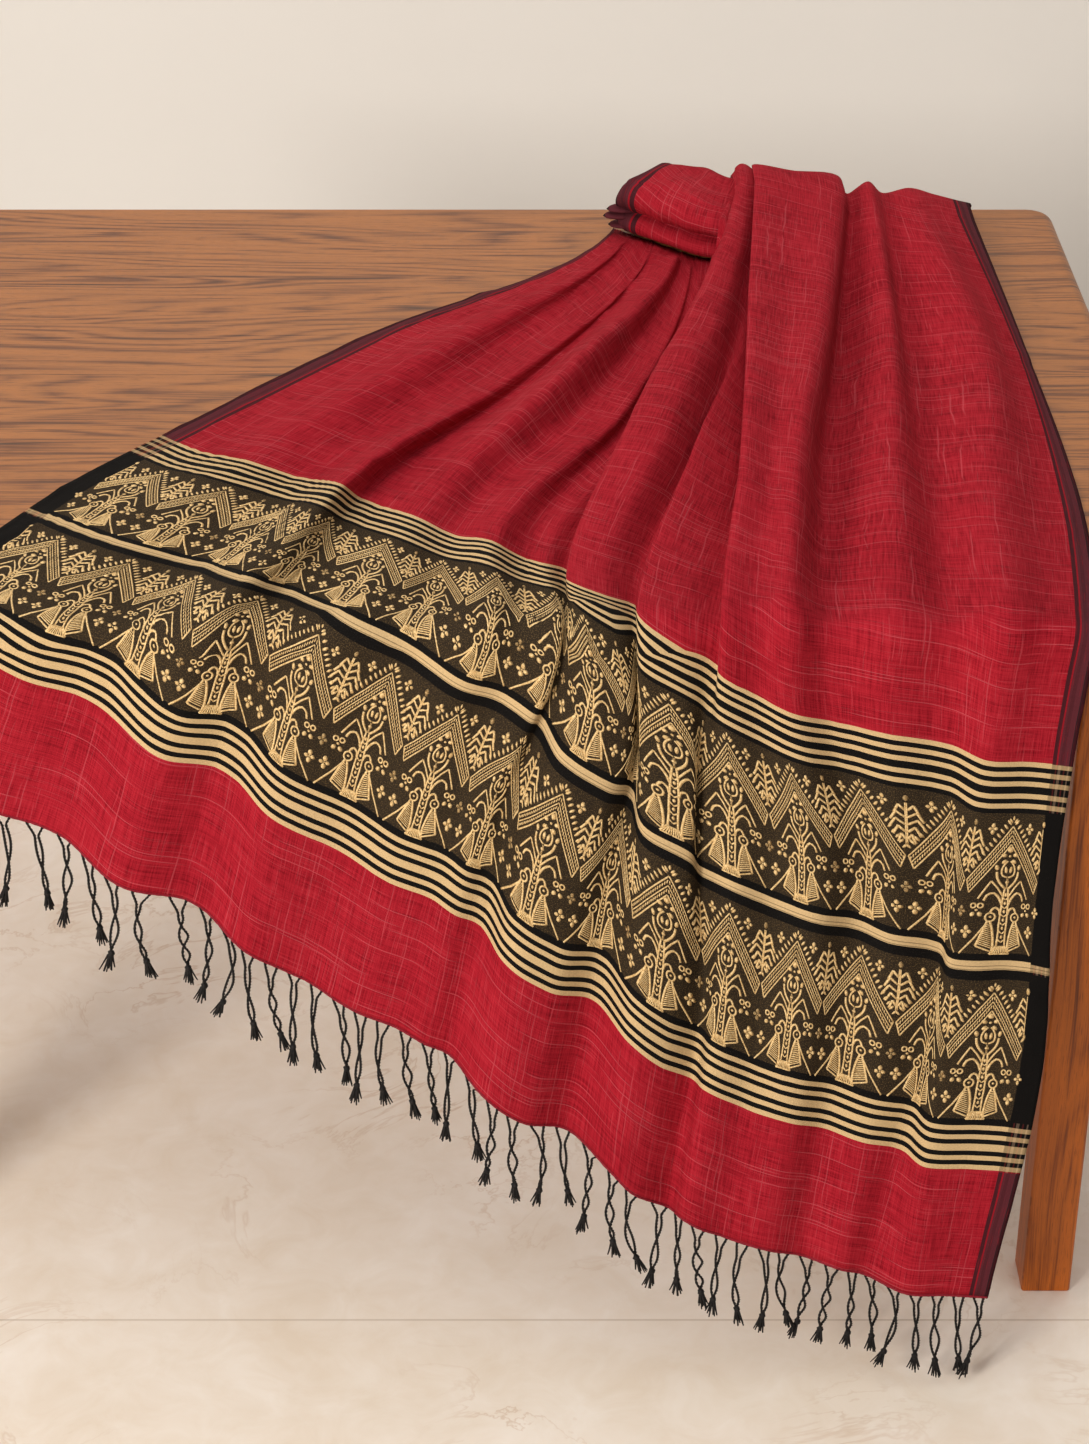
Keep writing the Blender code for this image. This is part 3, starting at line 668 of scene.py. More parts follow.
        places = np.concatenate([places, np.tile(fine, (len(across), 1))], axis=1)
        sides = np.concatenate([sides, down_side], axis=1)
        lifts = np.concatenate([lifts, down_lift], axis=1)
        points = drape.carry(sides, places, lifts)
        before = np.concatenate([self.points[kept][:, -1:], points[:, :-1]], axis=1)
        steps = np.linalg.norm(points - before, axis=-1)
        return points, self.along[kept][:, -1:] + np.cumsum(steps, axis=1)


# ---------------------------------------------------------------- node graphs

Colour = tuple[float, float, float]


def shade(code: str) -> Colour:
    """A colour from its two-digit red, green and blue, as light."""
    parts = [int(code[i:i + 2], 16) / 255 for i in (0, 2, 4)]
    return tuple(p / 12.92 if p <= 0.04045 else ((p + 0.055) / 1.055) ** 2.4 for p in parts)


def dim(colour: Colour, share: float) -> Colour:
    """A colour with each part multiplied."""
    return tuple(part * share for part in colour)


class Wire:
    """A node's output, with which sums are written as they are read."""

    def __init__(self, graph: "Graph", socket: bpy.types.NodeSocket) -> None:
        """Keep an output and the graph that it belongs to."""
        self.graph = graph
        self.socket = socket

    def __add__(self, other: object) -> "Wire":
        """The two added."""
        return self.graph.math("ADD", self, other)

    def __sub__(self, other: object) -> "Wire":
        """The other taken from this."""
        return self.graph.math("SUBTRACT", self, other)

    def __rsub__(self, other: float) -> "Wire":
        """This taken from a number."""
        return self.graph.math("SUBTRACT", other, self)

    def __mul__(self, other: object) -> "Wire":
        """The two multiplied."""
        return self.graph.math("MULTIPLY", self, other)

    def __truediv__(self, other: object) -> "Wire":
        """This divided by the other."""
        return self.graph.math("DIVIDE", self, other)

    def __abs__(self) -> "Wire":
        """This without its sign."""
        return self.graph.math("ABSOLUTE", self)

    def floor(self) -> "Wire":
        """The whole number under this."""
        return self.graph.math("FLOOR", self)

    def fract(self) -> "Wire":
        """What is left of this over the whole number under it."""
        return self.graph.math("FRACT", self)


Stops = Sequence[tuple[float, Colour]]


class Graph:
    """A material's nodes, made by short calls."""

    def __init__(self, name: str, roughness: float, specular: float = 0.3) -> None:
        """Start a material with its shader.

        Args:
            name: The material's name.
            roughness: Its roughness where nothing else is said.
            specular: Its specular level.
        """
        self.material = bpy.data.materials.new(name)
        self.material.use_nodes = True
        self.tree = self.material.node_tree
        self.shader = self.tree.nodes["Principled BSDF"]
        self.shader.inputs["Roughness"].default_value = roughness
        self.shader.inputs["Specular IOR Level"].default_value = specular

    def node(self, kind: str, feeds: dict[object, object], out: object = 0,
             **settings: object) -> Wire:
        """One output of a new node.

        Args:
            kind: The node's kind.
            feeds: What goes into each input, by its name or number.
            out: The output's name or number.
            **settings: The node's settings.

        Returns:
            The output.
        """
        made = self.tree.nodes.new(kind)
        for key, value in settings.items():
            setattr(made, key, value)
        for key, value in feeds.items():
            self.feed(made.inputs[key], value)
        return Wire(self, made.outputs[out])

    def feed(self, socket: bpy.types.NodeSocket, value: object) -> None:
        """Put a number, a colour or another node's output into a socket."""
        if isinstance(value, Wire):
            self.tree.links.new(value.socket, socket)
        elif isinstance(value, tuple):
            socket.default_value = (*value, 1.0)
        else:
            socket.default_value = value

    def spot(self) -> Wire:
        """The place on the object, which is its place in the room."""
        return self.node("ShaderNodeTexCoord", {}, "Object")

    def math(self, operation: str, *values: object) -> Wire:
        """The result of one sum."""
        return self.node("ShaderNodeMath", dict(enumerate(values)), operation=operation)

    def mix(self, share: object, one: object, other: object, blend: str = "MIX") -> Wire:
        """Two colours mixed."""
        return self.node("ShaderNodeMix", {0: share, 6: one, 7: other}, 2,
                         data_type="RGBA", blend_type=blend)

    def ramp(self, value: Wire, stops: Stops, constant: bool = False) -> Wire:
        """A colour read from stops along a value.

        Args:
            value: What is looked up.
            stops: Places from 0 to 1, rising, and the colour from each.
            constant: Whether each colour holds up to the next stop.

        Returns:
            The colour.
        """
        made = self.node("ShaderNodeValToRGB", {0: value})
        table = made.socket.node.color_ramp
        table.interpolation = "CONSTANT" if constant else "LINEAR"
        while len(table.elements) < len(stops):
            table.elements.new(1.0)
        for element, (at, colour) in zip(table.elements, stops):
            element.position = at
            element.color = (*colour, 1.0)
        return made

    def noise(self, vector: Wire, scale: float, detail: float = 2.0, rough: float = 0.5,
              distort: float = 0.0) -> Wire:
        """Cloudy values about 0.5."""
        return self.node("ShaderNodeTexNoise", {
            "Vector": vector, "Scale": scale, "Detail": detail, "Roughness": rough,
            "Distortion": distort})

    def random(self, dimensions: str, feeds: dict[str, Wire]) -> Wire:
        """An even random number for each place."""
        return self.node("ShaderNodeTexWhiteNoise", feeds, noise_dimensions=dimensions)

    def point(self, x: object, y: object, z: object = 0.0) -> Wire:
        """Three values as a point."""
        return self.node("ShaderNodeCombineXYZ", {0: x, 1: y, 2: z})

    def streaks(self, x: Wire, y: Wire, detail: float = 2.0, z: object = 0.0,
                rough: float = 0.5, distort: float = 0.0) -> Wire:
        """Cloudy values over two lengths, each multiplied by how fine it is that way."""
        return self.noise(self.point(x, y, z), 1.0, detail, rough, distort)

    def split(self, vector: Wire) -> tuple[Wire, ...]:
        """A point's three values."""
        first = self.node("ShaderNodeSeparateXYZ", {0: vector})
        return tuple(Wire(self, socket) for socket in first.socket.node.outputs)

    def over(self, value: Wire, edge: float, soft: float) -> Wire:
        """0 under an edge and 1 over it, even between."""
        return self.node("ShaderNodeMapRange", {0: value, 1: edge - soft, 2: edge + soft})

    def between(self, value: Wire, low: float, high: float, soft: float) -> Wire:
        """1 between two edges and 0 outside."""
        return self.over(value, low, soft) * (1.0 - self.over(value, high, soft))

    def bump(self, height: Wire, strength: float, distance: float,
             under: Wire | None = None) -> Wire:
        """A bent normal from a height."""
        feeds = {"Strength": strength, "Distance": distance, "Height": height}
        if under is not None:
            feeds["Normal"] = under
        return self.node("ShaderNodeBump", feeds)

    def finish(self, colour: Wire, normal: Wire | None = None,
               roughness: Wire | None = None) -> bpy.types.Material:
        """Join the last colour, normal and roughness to the shader."""
        for key, value in (("Base Color", colour), ("Normal", normal), ("Roughness", roughness)):
            if value is not None:
                self.feed(self.shader.inputs[key], value)
        return self.material


# ---------------------------------------------------------------- finishes

class Zone(NamedTuple):
    """A stripe right across the cloth: how far along it ends, in millimetres, and its yarn."""

    end: float
    yarn: str


def striped(start: float, count: int, pitch: float = 5.0) -> list[Zone]:
    """Cream and black stripes by turns, all of one width, from a place along the cloth."""
    return [Zone(start + pitch * (k + 1), ("cream", "black")[k % 2]) for k in range(count)]


ZONES = [
    Zone(130.0, "red"), *striped(130.0, 9), Zone(181.0, "black"),
    Zone(320.0, "band"), Zone(328.5, "black"), Zone(338.0, "cream"), Zone(345.5, "black"),
    Zone(481.5, "band"), Zone(486.5, "black"), *striped(486.5, 9),
]


class Streaks(NamedTuple):
    """Cloudy streaks in the cloth: how fine they are each way, and their share of its tone."""

    across: float
    along: float
    share: float


class Slubs(NamedTuple):
    """Thick threads: their least distance, a stretch's length, how many have one, and a seed."""

    cell: float
    piece: float
    share: float
    seed: float


@dataclass(frozen=True)
class ClothFinish:
    """Fine plain weave in slubby crimson, with striped woven ends and dark selvedges."""

    name: str = "crimson_stole_cloth"
    red: Colour = shade("991A27")
    deep: Colour = shade("700A16")
    cream: Colour = shade("D2B283")
    black: Colour = shade("110F0E")
    ground: Colour = shade("2A221A")
    speck: Colour = shade("5C4A30")
    slub: Colour = shade("D86A72")
    maroon: Colour = shade("55242B")
    span: float = 0.60
    border: float = 0.030
    border_edge: float = 0.0238
    sway: float = 0.0012
    slub_share: float = 0.34
    tones: tuple[Streaks, ...] = (
        Streaks(30.0, 900.0, 0.36), Streaks(900.0, 30.0, 0.40), Streaks(9.0, 160.0, 0.14))
    weft_slubs: Slubs = Slubs(0.0031, 0.085, 0.13, 1.3)
    warp_slubs: Slubs = Slubs(0.0034, 0.090, 0.09, 5.1)
    fine_weft_slubs: Slubs = Slubs(0.0016, 0.030, 0.12, 8.7)
    fine_warp_slubs: Slubs = Slubs(0.0017, 0.026, 0.10, 12.9)
    crisp: float = 0.0002
    low_stripes: tuple[float, float] = (0.1300, 0.1810)
    middle_stripe: tuple[float, float] = (0.3285, 0.3380)
    top_stripes: tuple[float, float] = (0.4815, 0.5315)

    def build(self) -> bpy.types.Material:
        """Make the material from the cloth's own places, across and along."""
        graph = Graph(self.name, roughness=0.86, specular=0.06)
        place = graph.node("ShaderNodeUVMap", {}, uv_map="cloth_place")
        across, along, _ = graph.split(place)
        swaying = graph.noise(graph.point(across * 14.0, along), 3.0)
        wavy = along + (swaying - 0.5) * self.sway
        field, thick = self._field(graph, across, along)
        zones = self._zones(graph, wavy, field, across, along)
        colour = self._borders(graph, zones, across, along, wavy)
        crease = graph.noise(place, 34.0, detail=3.0, rough=0.55, distort=0.6)
        pucker = (graph.streaks(across * 22.0, along * 130.0)
                  + graph.streaks(across * 130.0, along * 22.0, z=3.0))
        threads = (graph.streaks(across * 70.0, along * 1300.0)
                   + graph.streaks(across * 1300.0, along * 70.0))
        bent = graph.bump(crease, 0.13, 0.004)
        bent = graph.bump(pucker, 0.30, 0.0012, bent)
        bent = graph.bump(threads + thick * 1.1, 0.38, 0.0006, bent)
        return graph.finish(colour, bent)

    @staticmethod
    def _slub_lines(graph: Graph, cross: Wire, run: Wire, slubs: Slubs) -> Wire:
        """Thick threads here and there, each of some length, all running one way.

        A line stands in the middle of a cell of "cross". Random numbers, one for each cell and
        stretch of "run", say which have one, and it dies away towards each end.

        Args:
            graph: The material's nodes.
            cross: The distance across the lines.
            run: The distance along them.
            slubs: How far apart, how long and how many they are.

        Returns:
            How much thicker the thread is, 0 to 1.
        """
        drift = graph.streaks(run * 16.0, cross * 5.0, z=slubs.seed)
        line = (cross + (drift - 0.5) * 0.007) / slubs.cell
        number = line.floor()
        stretch = run / slubs.piece + number * 0.377
        cell = graph.point(number, stretch.floor(), slubs.seed)
        chance = graph.random("3D", {"Vector": cell})
        picked = graph.over(chance, 1.0 - slubs.share, 0.002)
        thin = 1.0 - graph.over(abs(line.fract() - 0.5), 0.12, 0.08)
        ends = 1.0 - graph.over(abs(stretch.fract() - 0.5), 0.40, 0.10)
        return picked * thin * ends

    def _field(self, graph: Graph, across: Wire, along: Wire) -> tuple[Wire, Wire]:
        """Crimson with darker and paler threads both ways, and a loose check of pale slubs."""
        first, *others = (graph.streaks(across * one.across, along * one.along) * one.share
                          for one in self.tones)
        cloud = graph.noise(graph.point(across, along), 9.0, 2.0) * 0.14
        tone = sum([*others, cloud], start=first)
        pale = tuple(min(1.0, c * 1.30 + 0.008) for c in self.red)
        shaded = graph.ramp(tone, [(0.38, self.deep), (0.53, self.red), (0.70, pale)])
        weft, fine_weft = (self._slub_lines(graph, along, across, slubs)
                           for slubs in (self.weft_slubs, self.fine_weft_slubs))
        warp, fine_warp = (self._slub_lines(graph, across, along, slubs)
                           for slubs in (self.warp_slubs, self.fine_warp_slubs))
        bold = graph.math("MAXIMUM", weft, warp * 0.7)
        faint = graph.math("MAXIMUM", fine_weft, fine_warp) * 0.5
        slub = graph.math("MAXIMUM", bold, faint)
        return graph.mix(slub * self.slub_share, shaded, self.slub), weft

    def _zones(self, graph: Graph, wavy: Wire, field: Wire, across: Wire, along: Wire) -> Wire:
        """The stripes and the dark grounds of the woven bands, over the crimson field."""
        speckle = graph.noise(graph.point(across, along), 1100.0, 1.0)
        grain = graph.streaks(across * 500.0, along * 1500.0)
        band = graph.mix(graph.over(speckle, 0.60, 0.06), self.ground, self.speck)
        cream = graph.mix(graph.over(grain, 0.5, 0.2), dim(self.cream, 0.74), self.cream)
        low, high = self.middle_stripe
        line = ((along - low) * (3.0 / (high - low))).fract()
        inside = graph.between(along, low + 0.0009, high - 0.0009, self.crisp)
        middle = graph.over(line, 0.76, 0.06) * inside
        cream = graph.mix(middle * 0.80, cream, dim(self.cream, 0.20))
        yarns = {"red": (1.0, 0.0, 0.0), "cream": (0.0, 1.0, 0.0),
                 "black": (0.0, 0.0, 0.0), "band": (0.0, 0.0, 1.0)}
        starts = [0.0, *(zone.end * MILLIMETRE / self.span for zone in ZONES)]
        colours = [*(yarns[zone.yarn] for zone in ZONES), yarns["red"]]
        chosen = graph.ramp(wavy / self.span, list(zip(starts, colours)), constant=True)
        is_red, is_cream, is_band = graph.split(chosen)
        black = graph.mix(graph.over(speckle, 0.62, 0.05), self.black, dim(self.black, 2.6))
        colour = graph.mix(is_cream, black, cream)
        colour = graph.mix(is_band, colour, band)
        return graph.mix(is_red, colour, field)

    def _borders(self, graph: Graph, zones: Wire, across: Wire, along: Wire,
                 wavy: Wire) -> Wire:
        """The selvedges: a grey line, a red thread, a maroon band with red floats, a red rim.

        Beside the stripes the dark warps show between small red, orange and pale checks, and
        beside the bands the selvedge is plain black.
        """
        rim = graph.math("MINIMUM", across, CLOTH_WIDTH - across)
        red, maroon = dim(self.red, 0.80), self.maroon
        grey = (0.020, 0.011, 0.013)
        plain = graph.ramp(rim / self.border, [
            (0.0, dim(maroon, 0.45)), (0.13, grey), (0.16, maroon), (0.36, dim(maroon, 0.8)),
            (0.50, maroon), (0.58, red), (0.64, dim(maroon, 0.6)), (0.79, red)], constant=True)
        floats = graph.streaks(across * 620.0, along * 40.0, 1.0)
        plain = graph.mix(graph.over(floats, 0.66, 0.05) * 0.35, plain, red)
        warps = graph.random("1D", {"W": (across * 640.0).floor()})
        checks = graph.ramp(warps, [
            (0.0, self.black), (0.42, (0.17, 0.02, 0.02)), (0.58, (0.42, 0.09, 0.04)),
            (0.66, (0.30, 0.20, 0.14)), (0.80, self.black)], constant=True)
        stripes = graph.mix(0.82, zones, checks, blend="MULTIPLY")
        stripes = graph.mix(0.55, stripes, checks)
        stripes = graph.mix(0.5, zones, stripes)
        low, high = self.middle_stripe
        edge = plain
        for share, side in (
                (graph.over(wavy, self.low_stripes[0], self.crisp), stripes),
                (graph.over(wavy, self.low_stripes[1], self.crisp), self.black),
                (graph.between(wavy, low, high, self.crisp), stripes),
                (graph.over(wavy, self.top_stripes[0] + 0.004, self.crisp), stripes),
                (graph.over(wavy, self.top_stripes[1], self.crisp), plain)):
            edge = graph.mix(share, edge, side)
        return graph.mix(graph.over(rim, self.border_edge, 0.0003), edge, zones)


@dataclass(frozen=True)
class ThreadFinish:
    """A yarn of two tones with a fine bumpy grain."""

    name: str
    dark: Colour
    light: Colour
    roughness: float
    specular: float
    scale: float
    detail: float
    edge: float
    soft: float
    strength: float
    depth: float
    bump_scale: float = 0.0

    def build(self) -> bpy.types.Material:
        """Make the material."""
        graph = Graph(self.name, self.roughness, self.specular)
        grain = graph.noise(graph.spot(), self.scale, self.detail)
        colour = graph.mix(graph.over(grain, self.edge, self.soft), self.dark, self.light)
        if self.bump_scale:
            grain = graph.noise(graph.spot(), self.bump_scale, 1.0)
        return graph.finish(colour, graph.bump(grain, self.strength, self.depth))


HEM_RED = shade("8E1527")
GOLD = ThreadFinish("gold_figure_thread", shade("BC955C"), shade("F0D098"), 0.62, 0.3,
                    scale=700.0, detail=2.0, edge=0.5, soft=0.18, strength=0.3, depth=0.0004,
                    bump_scale=1500.0)
CORD = ThreadFinish("black_fringe_cord", shade("0B0A0A"), shade("221C1B"), 0.72, 0.25,
                    scale=420.0, detail=3.0, edge=0.55, soft=0.15, strength=0.5, depth=0.0006)
HEM = ThreadFinish("rolled_red_hem", dim(HEM_RED, 0.55), HEM_RED, 0.7, 0.25,
                   scale=500.0, detail=2.0, edge=0.5, soft=0.2, strength=0.4, depth=0.0006)


@dataclass(frozen=True)
class WalnutFinish:
    """Oiled walnut, its grain along one axis: arched figure, wandering fine streaks and pores."""

    name: str = "walnut_top"
    axis: int = 0
    light: Colour = shade("9B6235")
    middle: Colour = shade("764526")
    dark: Colour = shade("3D2515")
    plank: float = 0.135

    def build(self) -> bpy.types.Material:
        """Make the material from the wood's own place in the room.

        The arched figure is a ring pattern: contours of a slow noise that is long along the
        grain, so that its hills show as ovals and flames, and the streaks are finer noise
        stretched the same way.
        """
        graph = Graph(self.name, roughness=0.42, specular=0.35)
        axes = list(graph.split(graph.spot()))
        grain = axes.pop(self.axis)
        side = axes[0] + axes[1] * 0.6
        board = side / self.plank
        shift = board.floor() * 3.7
        run = grain + shift
        hills = graph.streaks(run * 1.5, side * 11.0, 1.5, shift, 0.45, 0.25)
        rings = abs((hills * 17.0).fract() - 0.42)
        wander = graph.streaks(run * 2.4, side * 9.0, z=shift)
        bent_side = side + (wander - 0.5) * 0.022
        streak = graph.streaks(run * 2.2, bent_side * 70.0, 4.0, shift, 0.60)
        fine = graph.streaks(run * 9.0, bent_side * 520.0, 3.0, shift)
        pores = graph.streaks(run * 55.0, side * 1400.0, 1.0)
        tone = streak * 0.46 + fine * 0.48 + rings * 0.36 + hills * 0.16
        colour = graph.ramp(tone, [
            (0.42, self.dark), (0.54, self.middle), (0.635, self.light),
            (0.78, tuple(min(1.0, c * 1.18) for c in self.light))])
        pit = graph.over(pores, 0.64, 0.03)
        colour = graph.mix(pit * 0.50, colour, self.dark)
        seam = graph.over(abs(board.fract() - 0.5), 0.496, 0.002)
        colour = graph.mix(seam * 0.45, colour, dim(self.dark, 0.5))
        bent = graph.bump(fine - pit * 1.2, 0.12, 0.0008)
        return graph.finish(colour, bent, tone * 0.16 + 0.36)


@dataclass(frozen=True)
class MarbleFinish:
    """Cream stone tiles, cloudy, with faint rosy veins and thin joints."""

    name: str = "cream_floor_stone"
    pale: Colour = shade("FCF4EA")
    warm: Colour = shade("EEE0CE")
    vein: Colour = shade("CDAE90")
    joint: Colour = shade("C8B8A6")
    joint_at: float = -0.490
    tile: float = 1.2

    def build(self) -> bpy.types.Material:
        """Make the material."""
        graph = Graph(self.name, roughness=0.34, specular=0.4)
        spot = graph.spot()
        _, y, _ = graph.split(spot)
        cloud = graph.noise(spot, 2.6, 4.0, 0.6, 0.5)
        small = graph.noise(spot, 17.0, 4.0, 0.65, 0.8)
        colour = graph.ramp(cloud * 0.6 + small * 0.4, [(0.36, self.warm), (0.62, self.pale)])
        thin = graph.noise(spot, 5.5, 5.0, 0.6, 1.6)
        vein = 1.0 - graph.over(abs(thin - 0.5), 0.008, 0.008)
        patch = graph.over(graph.noise(spot, 3.1, 2.0), 0.55, 0.08)
        colour = graph.mix(vein * patch * 0.5, colour, self.vein)
        where = ((y - (self.joint_at - self.tile / 2)) / self.tile).fract()
        seam = 1.0 - graph.over(abs(where - 0.5), 0.0009, 0.0004)
        return graph.finish(graph.mix(seam * 0.7, colour, self.joint))


@dataclass(frozen=True)
class PlasterFinish:
    """Smooth warm-grey wall paint."""

    name: str = "warm_wall_paint"
    paint: Colour = shade("E4E0DB")

    def build(self) -> bpy.types.Material:
        """Make the material."""
        graph = Graph(self.name, roughness=0.95, specular=0.1)
        cloud = graph.noise(graph.spot(), 1.4, 3.0)
        return graph.finish(graph.mix(cloud, dim(self.paint, 0.94), self.paint))


# ---------------------------------------------------------------- the cloth

@dataclass
class StoleCloth:
    """The one cloth: its hanging end, its lying part and its pleats over the stack."""

    surface: ClothSurface
    thickness: float = 0.0009
    hem_radius: float = 0.0013
    hem_columns: int = 400
    hem_sides: int = 7
    hem_inset: float = 0.0006
    hem_end: float = 0.001
    hem_unevenness: float = 0.12
    hem_turns: float = 900.0

    def build(self) -> bpy.types.Object:
        """Make the cloth as one closed wall from its grid and the pleats that go on from it.

        Returns:
            The cloth.
        """
        surface = self.surface
        columns, rows = surface.points.shape[:2]
        pleats, pleat_along = surface.pleats()
        first = columns - len(pleats)
        points = np.concatenate([surface.points.reshape(-1, 3), pleats.reshape(-1, 3)])
        across = np.concatenate([
            np.repeat(surface.across, rows), np.repeat(surface.across[first:], pleats.shape[1])])
        along = np.concatenate([surface.along.ravel(), pleat_along.ravel()])
        over = grid_faces(len(pleats), pleats.shape[1], columns * rows)
        last = np.arange(first, columns) * rows + rows - 1
        fresh = columns * rows + np.arange(len(pleats)) * pleats.shape[1]
        join = np.stack([last[:-1], last[1:], fresh[1:], fresh[:-1]], axis=-1)
        quads = np.concatenate([grid_faces(columns, rows), join, over])
        wall, faces = closed_wall(points, quads, self.thickness)
        uv = np.stack([across, along], axis=-1)
        return put_mesh("stole_cloth", wall, faces, ClothFinish().build(),
                        np.concatenate([uv, uv]))

    def hem(self) -> bpy.types.Object:
        """Make the rolled hem: a thin tube carried along the cloth's lower edge.

        Returns:
            The hem.
        """
        count, sides = self.hem_columns, self.hem_sides
        across = np.linspace(self.hem_end, CLOTH_WIDTH - self.hem_end, count)
        near_edge = np.full(count, self.hem_inset)
        middle = self.surface.lay(across, near_edge, np.zeros(count))
        run = unit(np.gradient(middle, axis=0))
        out = unit(self.surface.lay(across, near_edge, np.full(count, 0.01)) - middle)
        up = np.cross(out, run)
        turn = turns(sides)
        ring = out[:, None] * np.cos(turn)[:, None] + up[:, None] * np.sin(turn)[:, None]
        uneven = 1 + self.hem_unevenness * np.sin(across * self.hem_turns)
        radius = self.hem_radius * uneven
        points = (middle[:, None] + ring * radius[:, None, None]).reshape(-1, 3)
        return put_mesh("rolled_hem", points, tube_body(count, sides, turned=True), HEM.build())


# ---------------------------------------------------------------- the woven figures

class Stroke(NamedTuple):
    """A woven line in a repeat, in millimetres: its width, whether it bends, and its points."""

    width: float
    round: bool
    points: tuple[tuple[float, float], ...]


class Leaf(NamedTuple):
    """A woven leaf in a repeat: its middle, length and width in millimetres, and its lean."""

    x: float
    y: float
    length: float
    width: float
    lean: float


@dataclass
class TreeRepeat:
    """One repeat of the woven band, its tree in the middle, drawn on the right and mirrored.

    A steep zigzag strip with leaves along its upper side runs over a flowering tree with two
    birds at its foot. A fir stands over each valley of the strip, and small flowers fill
    between.
    """

    width: float = 68.25
    height: float = 140.0
    peak: float = 128.0
    valley: float = 73.0
    strip: float = 18.0
    leaves: int = 12
    bold: float = 2.6
    fine: float = 2.0
    hair: float = 1.3
    strip_edge: float = 1.5
    strip_core: float = 1.1
    rungs: int = 20
    blunt: float = 3.6

    def strokes(self) -> list[Stroke]:
        """The lines of the right half."""
        half = self.width / 2
        return [*self._trunk(), *self._branches(), *self._bird(), *self._strip(half),
                *self._fir(half), *self._rings(half)]

    def _trunk(self) -> list[Stroke]:
        """The trunk's side, its flared foot and the hatching between."""
        bold, fine, hair = self.bold, self.fine, self.hair
        lines = [
            Stroke(fine, True, ((3.3, 9), (2.9, 20), (3.0, 33), (2.6, 46), (2.1, 57), (1.3, 67))),
            Stroke(fine, False, ((3.3, 9.5), (5.6, 5.2), (8.0, 0.9))),
            Stroke(fine, False, ((0.0, 1.0), (8.0, 1.0))),
        ]
        lines += [Stroke(hair, False, ((0.5 + x * 0.4, 9.0), (0.8 + x, 1.2)))
                  for x in (0.0, 1.8, 3.6, 5.4)]
        lines += [Stroke(bold * 0.6, False, ((0.0, y), (2.9, y + 3.0)))
                  for y in (12.5, 21, 29.5, 38, 46.5, 55)]
        return lines

    def _branches(self) -> list[Stroke]:
        """Two tiers of branches: thin ones that bend down sharply, and stout hooks below."""
        bold, fine = self.bold, self.fine
        return [
            Stroke(fine, False, ((2.0, 58), (7.2, 67.0), (12.6, 74.0))),
            Stroke(fine, False, ((12.6, 74.0), (17.2, 65.0), (21.2, 56.5))),
            Stroke(bold, True, ((2.6, 50), (5.6, 57.6), (10.2, 62.0), (14.0, 60.4), (16.4, 54.5))),
            Stroke(bold, True, ((2.8, 40), (4.4, 45.4), (7.4, 47.2), (9.6, 44.6), (10.4, 41.4))),
            Stroke(bold, True, ((1.4, 66.0), (5.4, 71.0), (8.4, 77.0), (9.2, 83.0))),
            Stroke(fine, False, ((0, 66), (0, 76))),
        ]

    def _bird(self) -> list[Stroke]:
        """A bird by the trunk: round head, hooked beak, hatched wing and a long straight tail."""
        bold, fine, hair = self.bold, self.fine, self.hair
        lines = [
            Stroke(fine, True, ((10.4, 42.4), (7.2, 40.6), (6.4, 37.2), (8.0, 34.2), (11.2, 33.6),
                                (13.6, 36.4), (13.0, 40.4), (10.4, 42.4))),
            Stroke(bold, True, ((10.0, 34.0), (8.0, 27), (6.6, 18), (6.0, 9), (6.6, 3.4))),
            Stroke(bold, False, ((11.6, 34.0), (14.2, 25.0), (18.6, 9.4))),
            Stroke(fine, False, ((12.4, 31.0), (20.4, 17.0), (31.6, 0.9))),
            Stroke(fine, False, ((6.6, 3.4), (18.6, 9.4))),
        ]
        shares = np.linspace(0.06, 0.97, 12)
        lines += [Stroke(hair, False, (
            (9.6 - 3.2 * t, 31.0 - 25.0 * t), (12.4 + 5.8 * t, 31.6 - 20.0 * t)))
            for t in shares]
        return lines

    def _strip(self, half: float) -> list[Stroke]:
        """The zigzag strip's flank: three lines and two ladders of rungs, with a blunt end."""
        slope = (self.valley - self.peak) / half
        end = half - 1.0
        lines = []
        edge = self.strip_edge
        for share, width in ((0.0, edge), (0.50, self.strip_core), (1.0, edge)):
            top = self.peak - self.strip * share
            stop = end - self.blunt * share
            lines.append(Stroke(width, False, ((0.0, top), (stop, top + slope * stop))))
        for low, high in ((0.17, 0.35), (0.65, 0.83)):
            rungs = np.linspace(0.7, end - 2.8 * low - 1.2, self.rungs)
            lines += [Stroke(self.hair * 0.85, False, (
                (x, self.peak - self.strip * low + slope * x),
                (x + 0.5, self.peak - self.strip * high + slope * x))) for x in rungs]
        stop = end - self.blunt
        lines.append(Stroke(edge, False, (
            (end, self.peak + slope * end),
            (stop, self.peak - self.strip + slope * stop))))
        return lines

    def _fir(self, half: float) -> list[Stroke]:
        """The left half of the fir over the valley: nested drooping branches down a stem."""
        lines = [Stroke(self.hair, False, ((half - 0.5, 127.0), (half - 0.5, 87.0)))]
        for foot, reach in ((119.5, 8.4), (112.5, 11.4), (105.5, 12.2), (98.5, 9.4), (91.5, 5.8)):
            lines.append(Stroke(self.bold, False, (
                (half - 0.9, foot), (half - reach * 0.60, foot + 5.0),
                (half - reach, foot - 3.8))))
        return lines

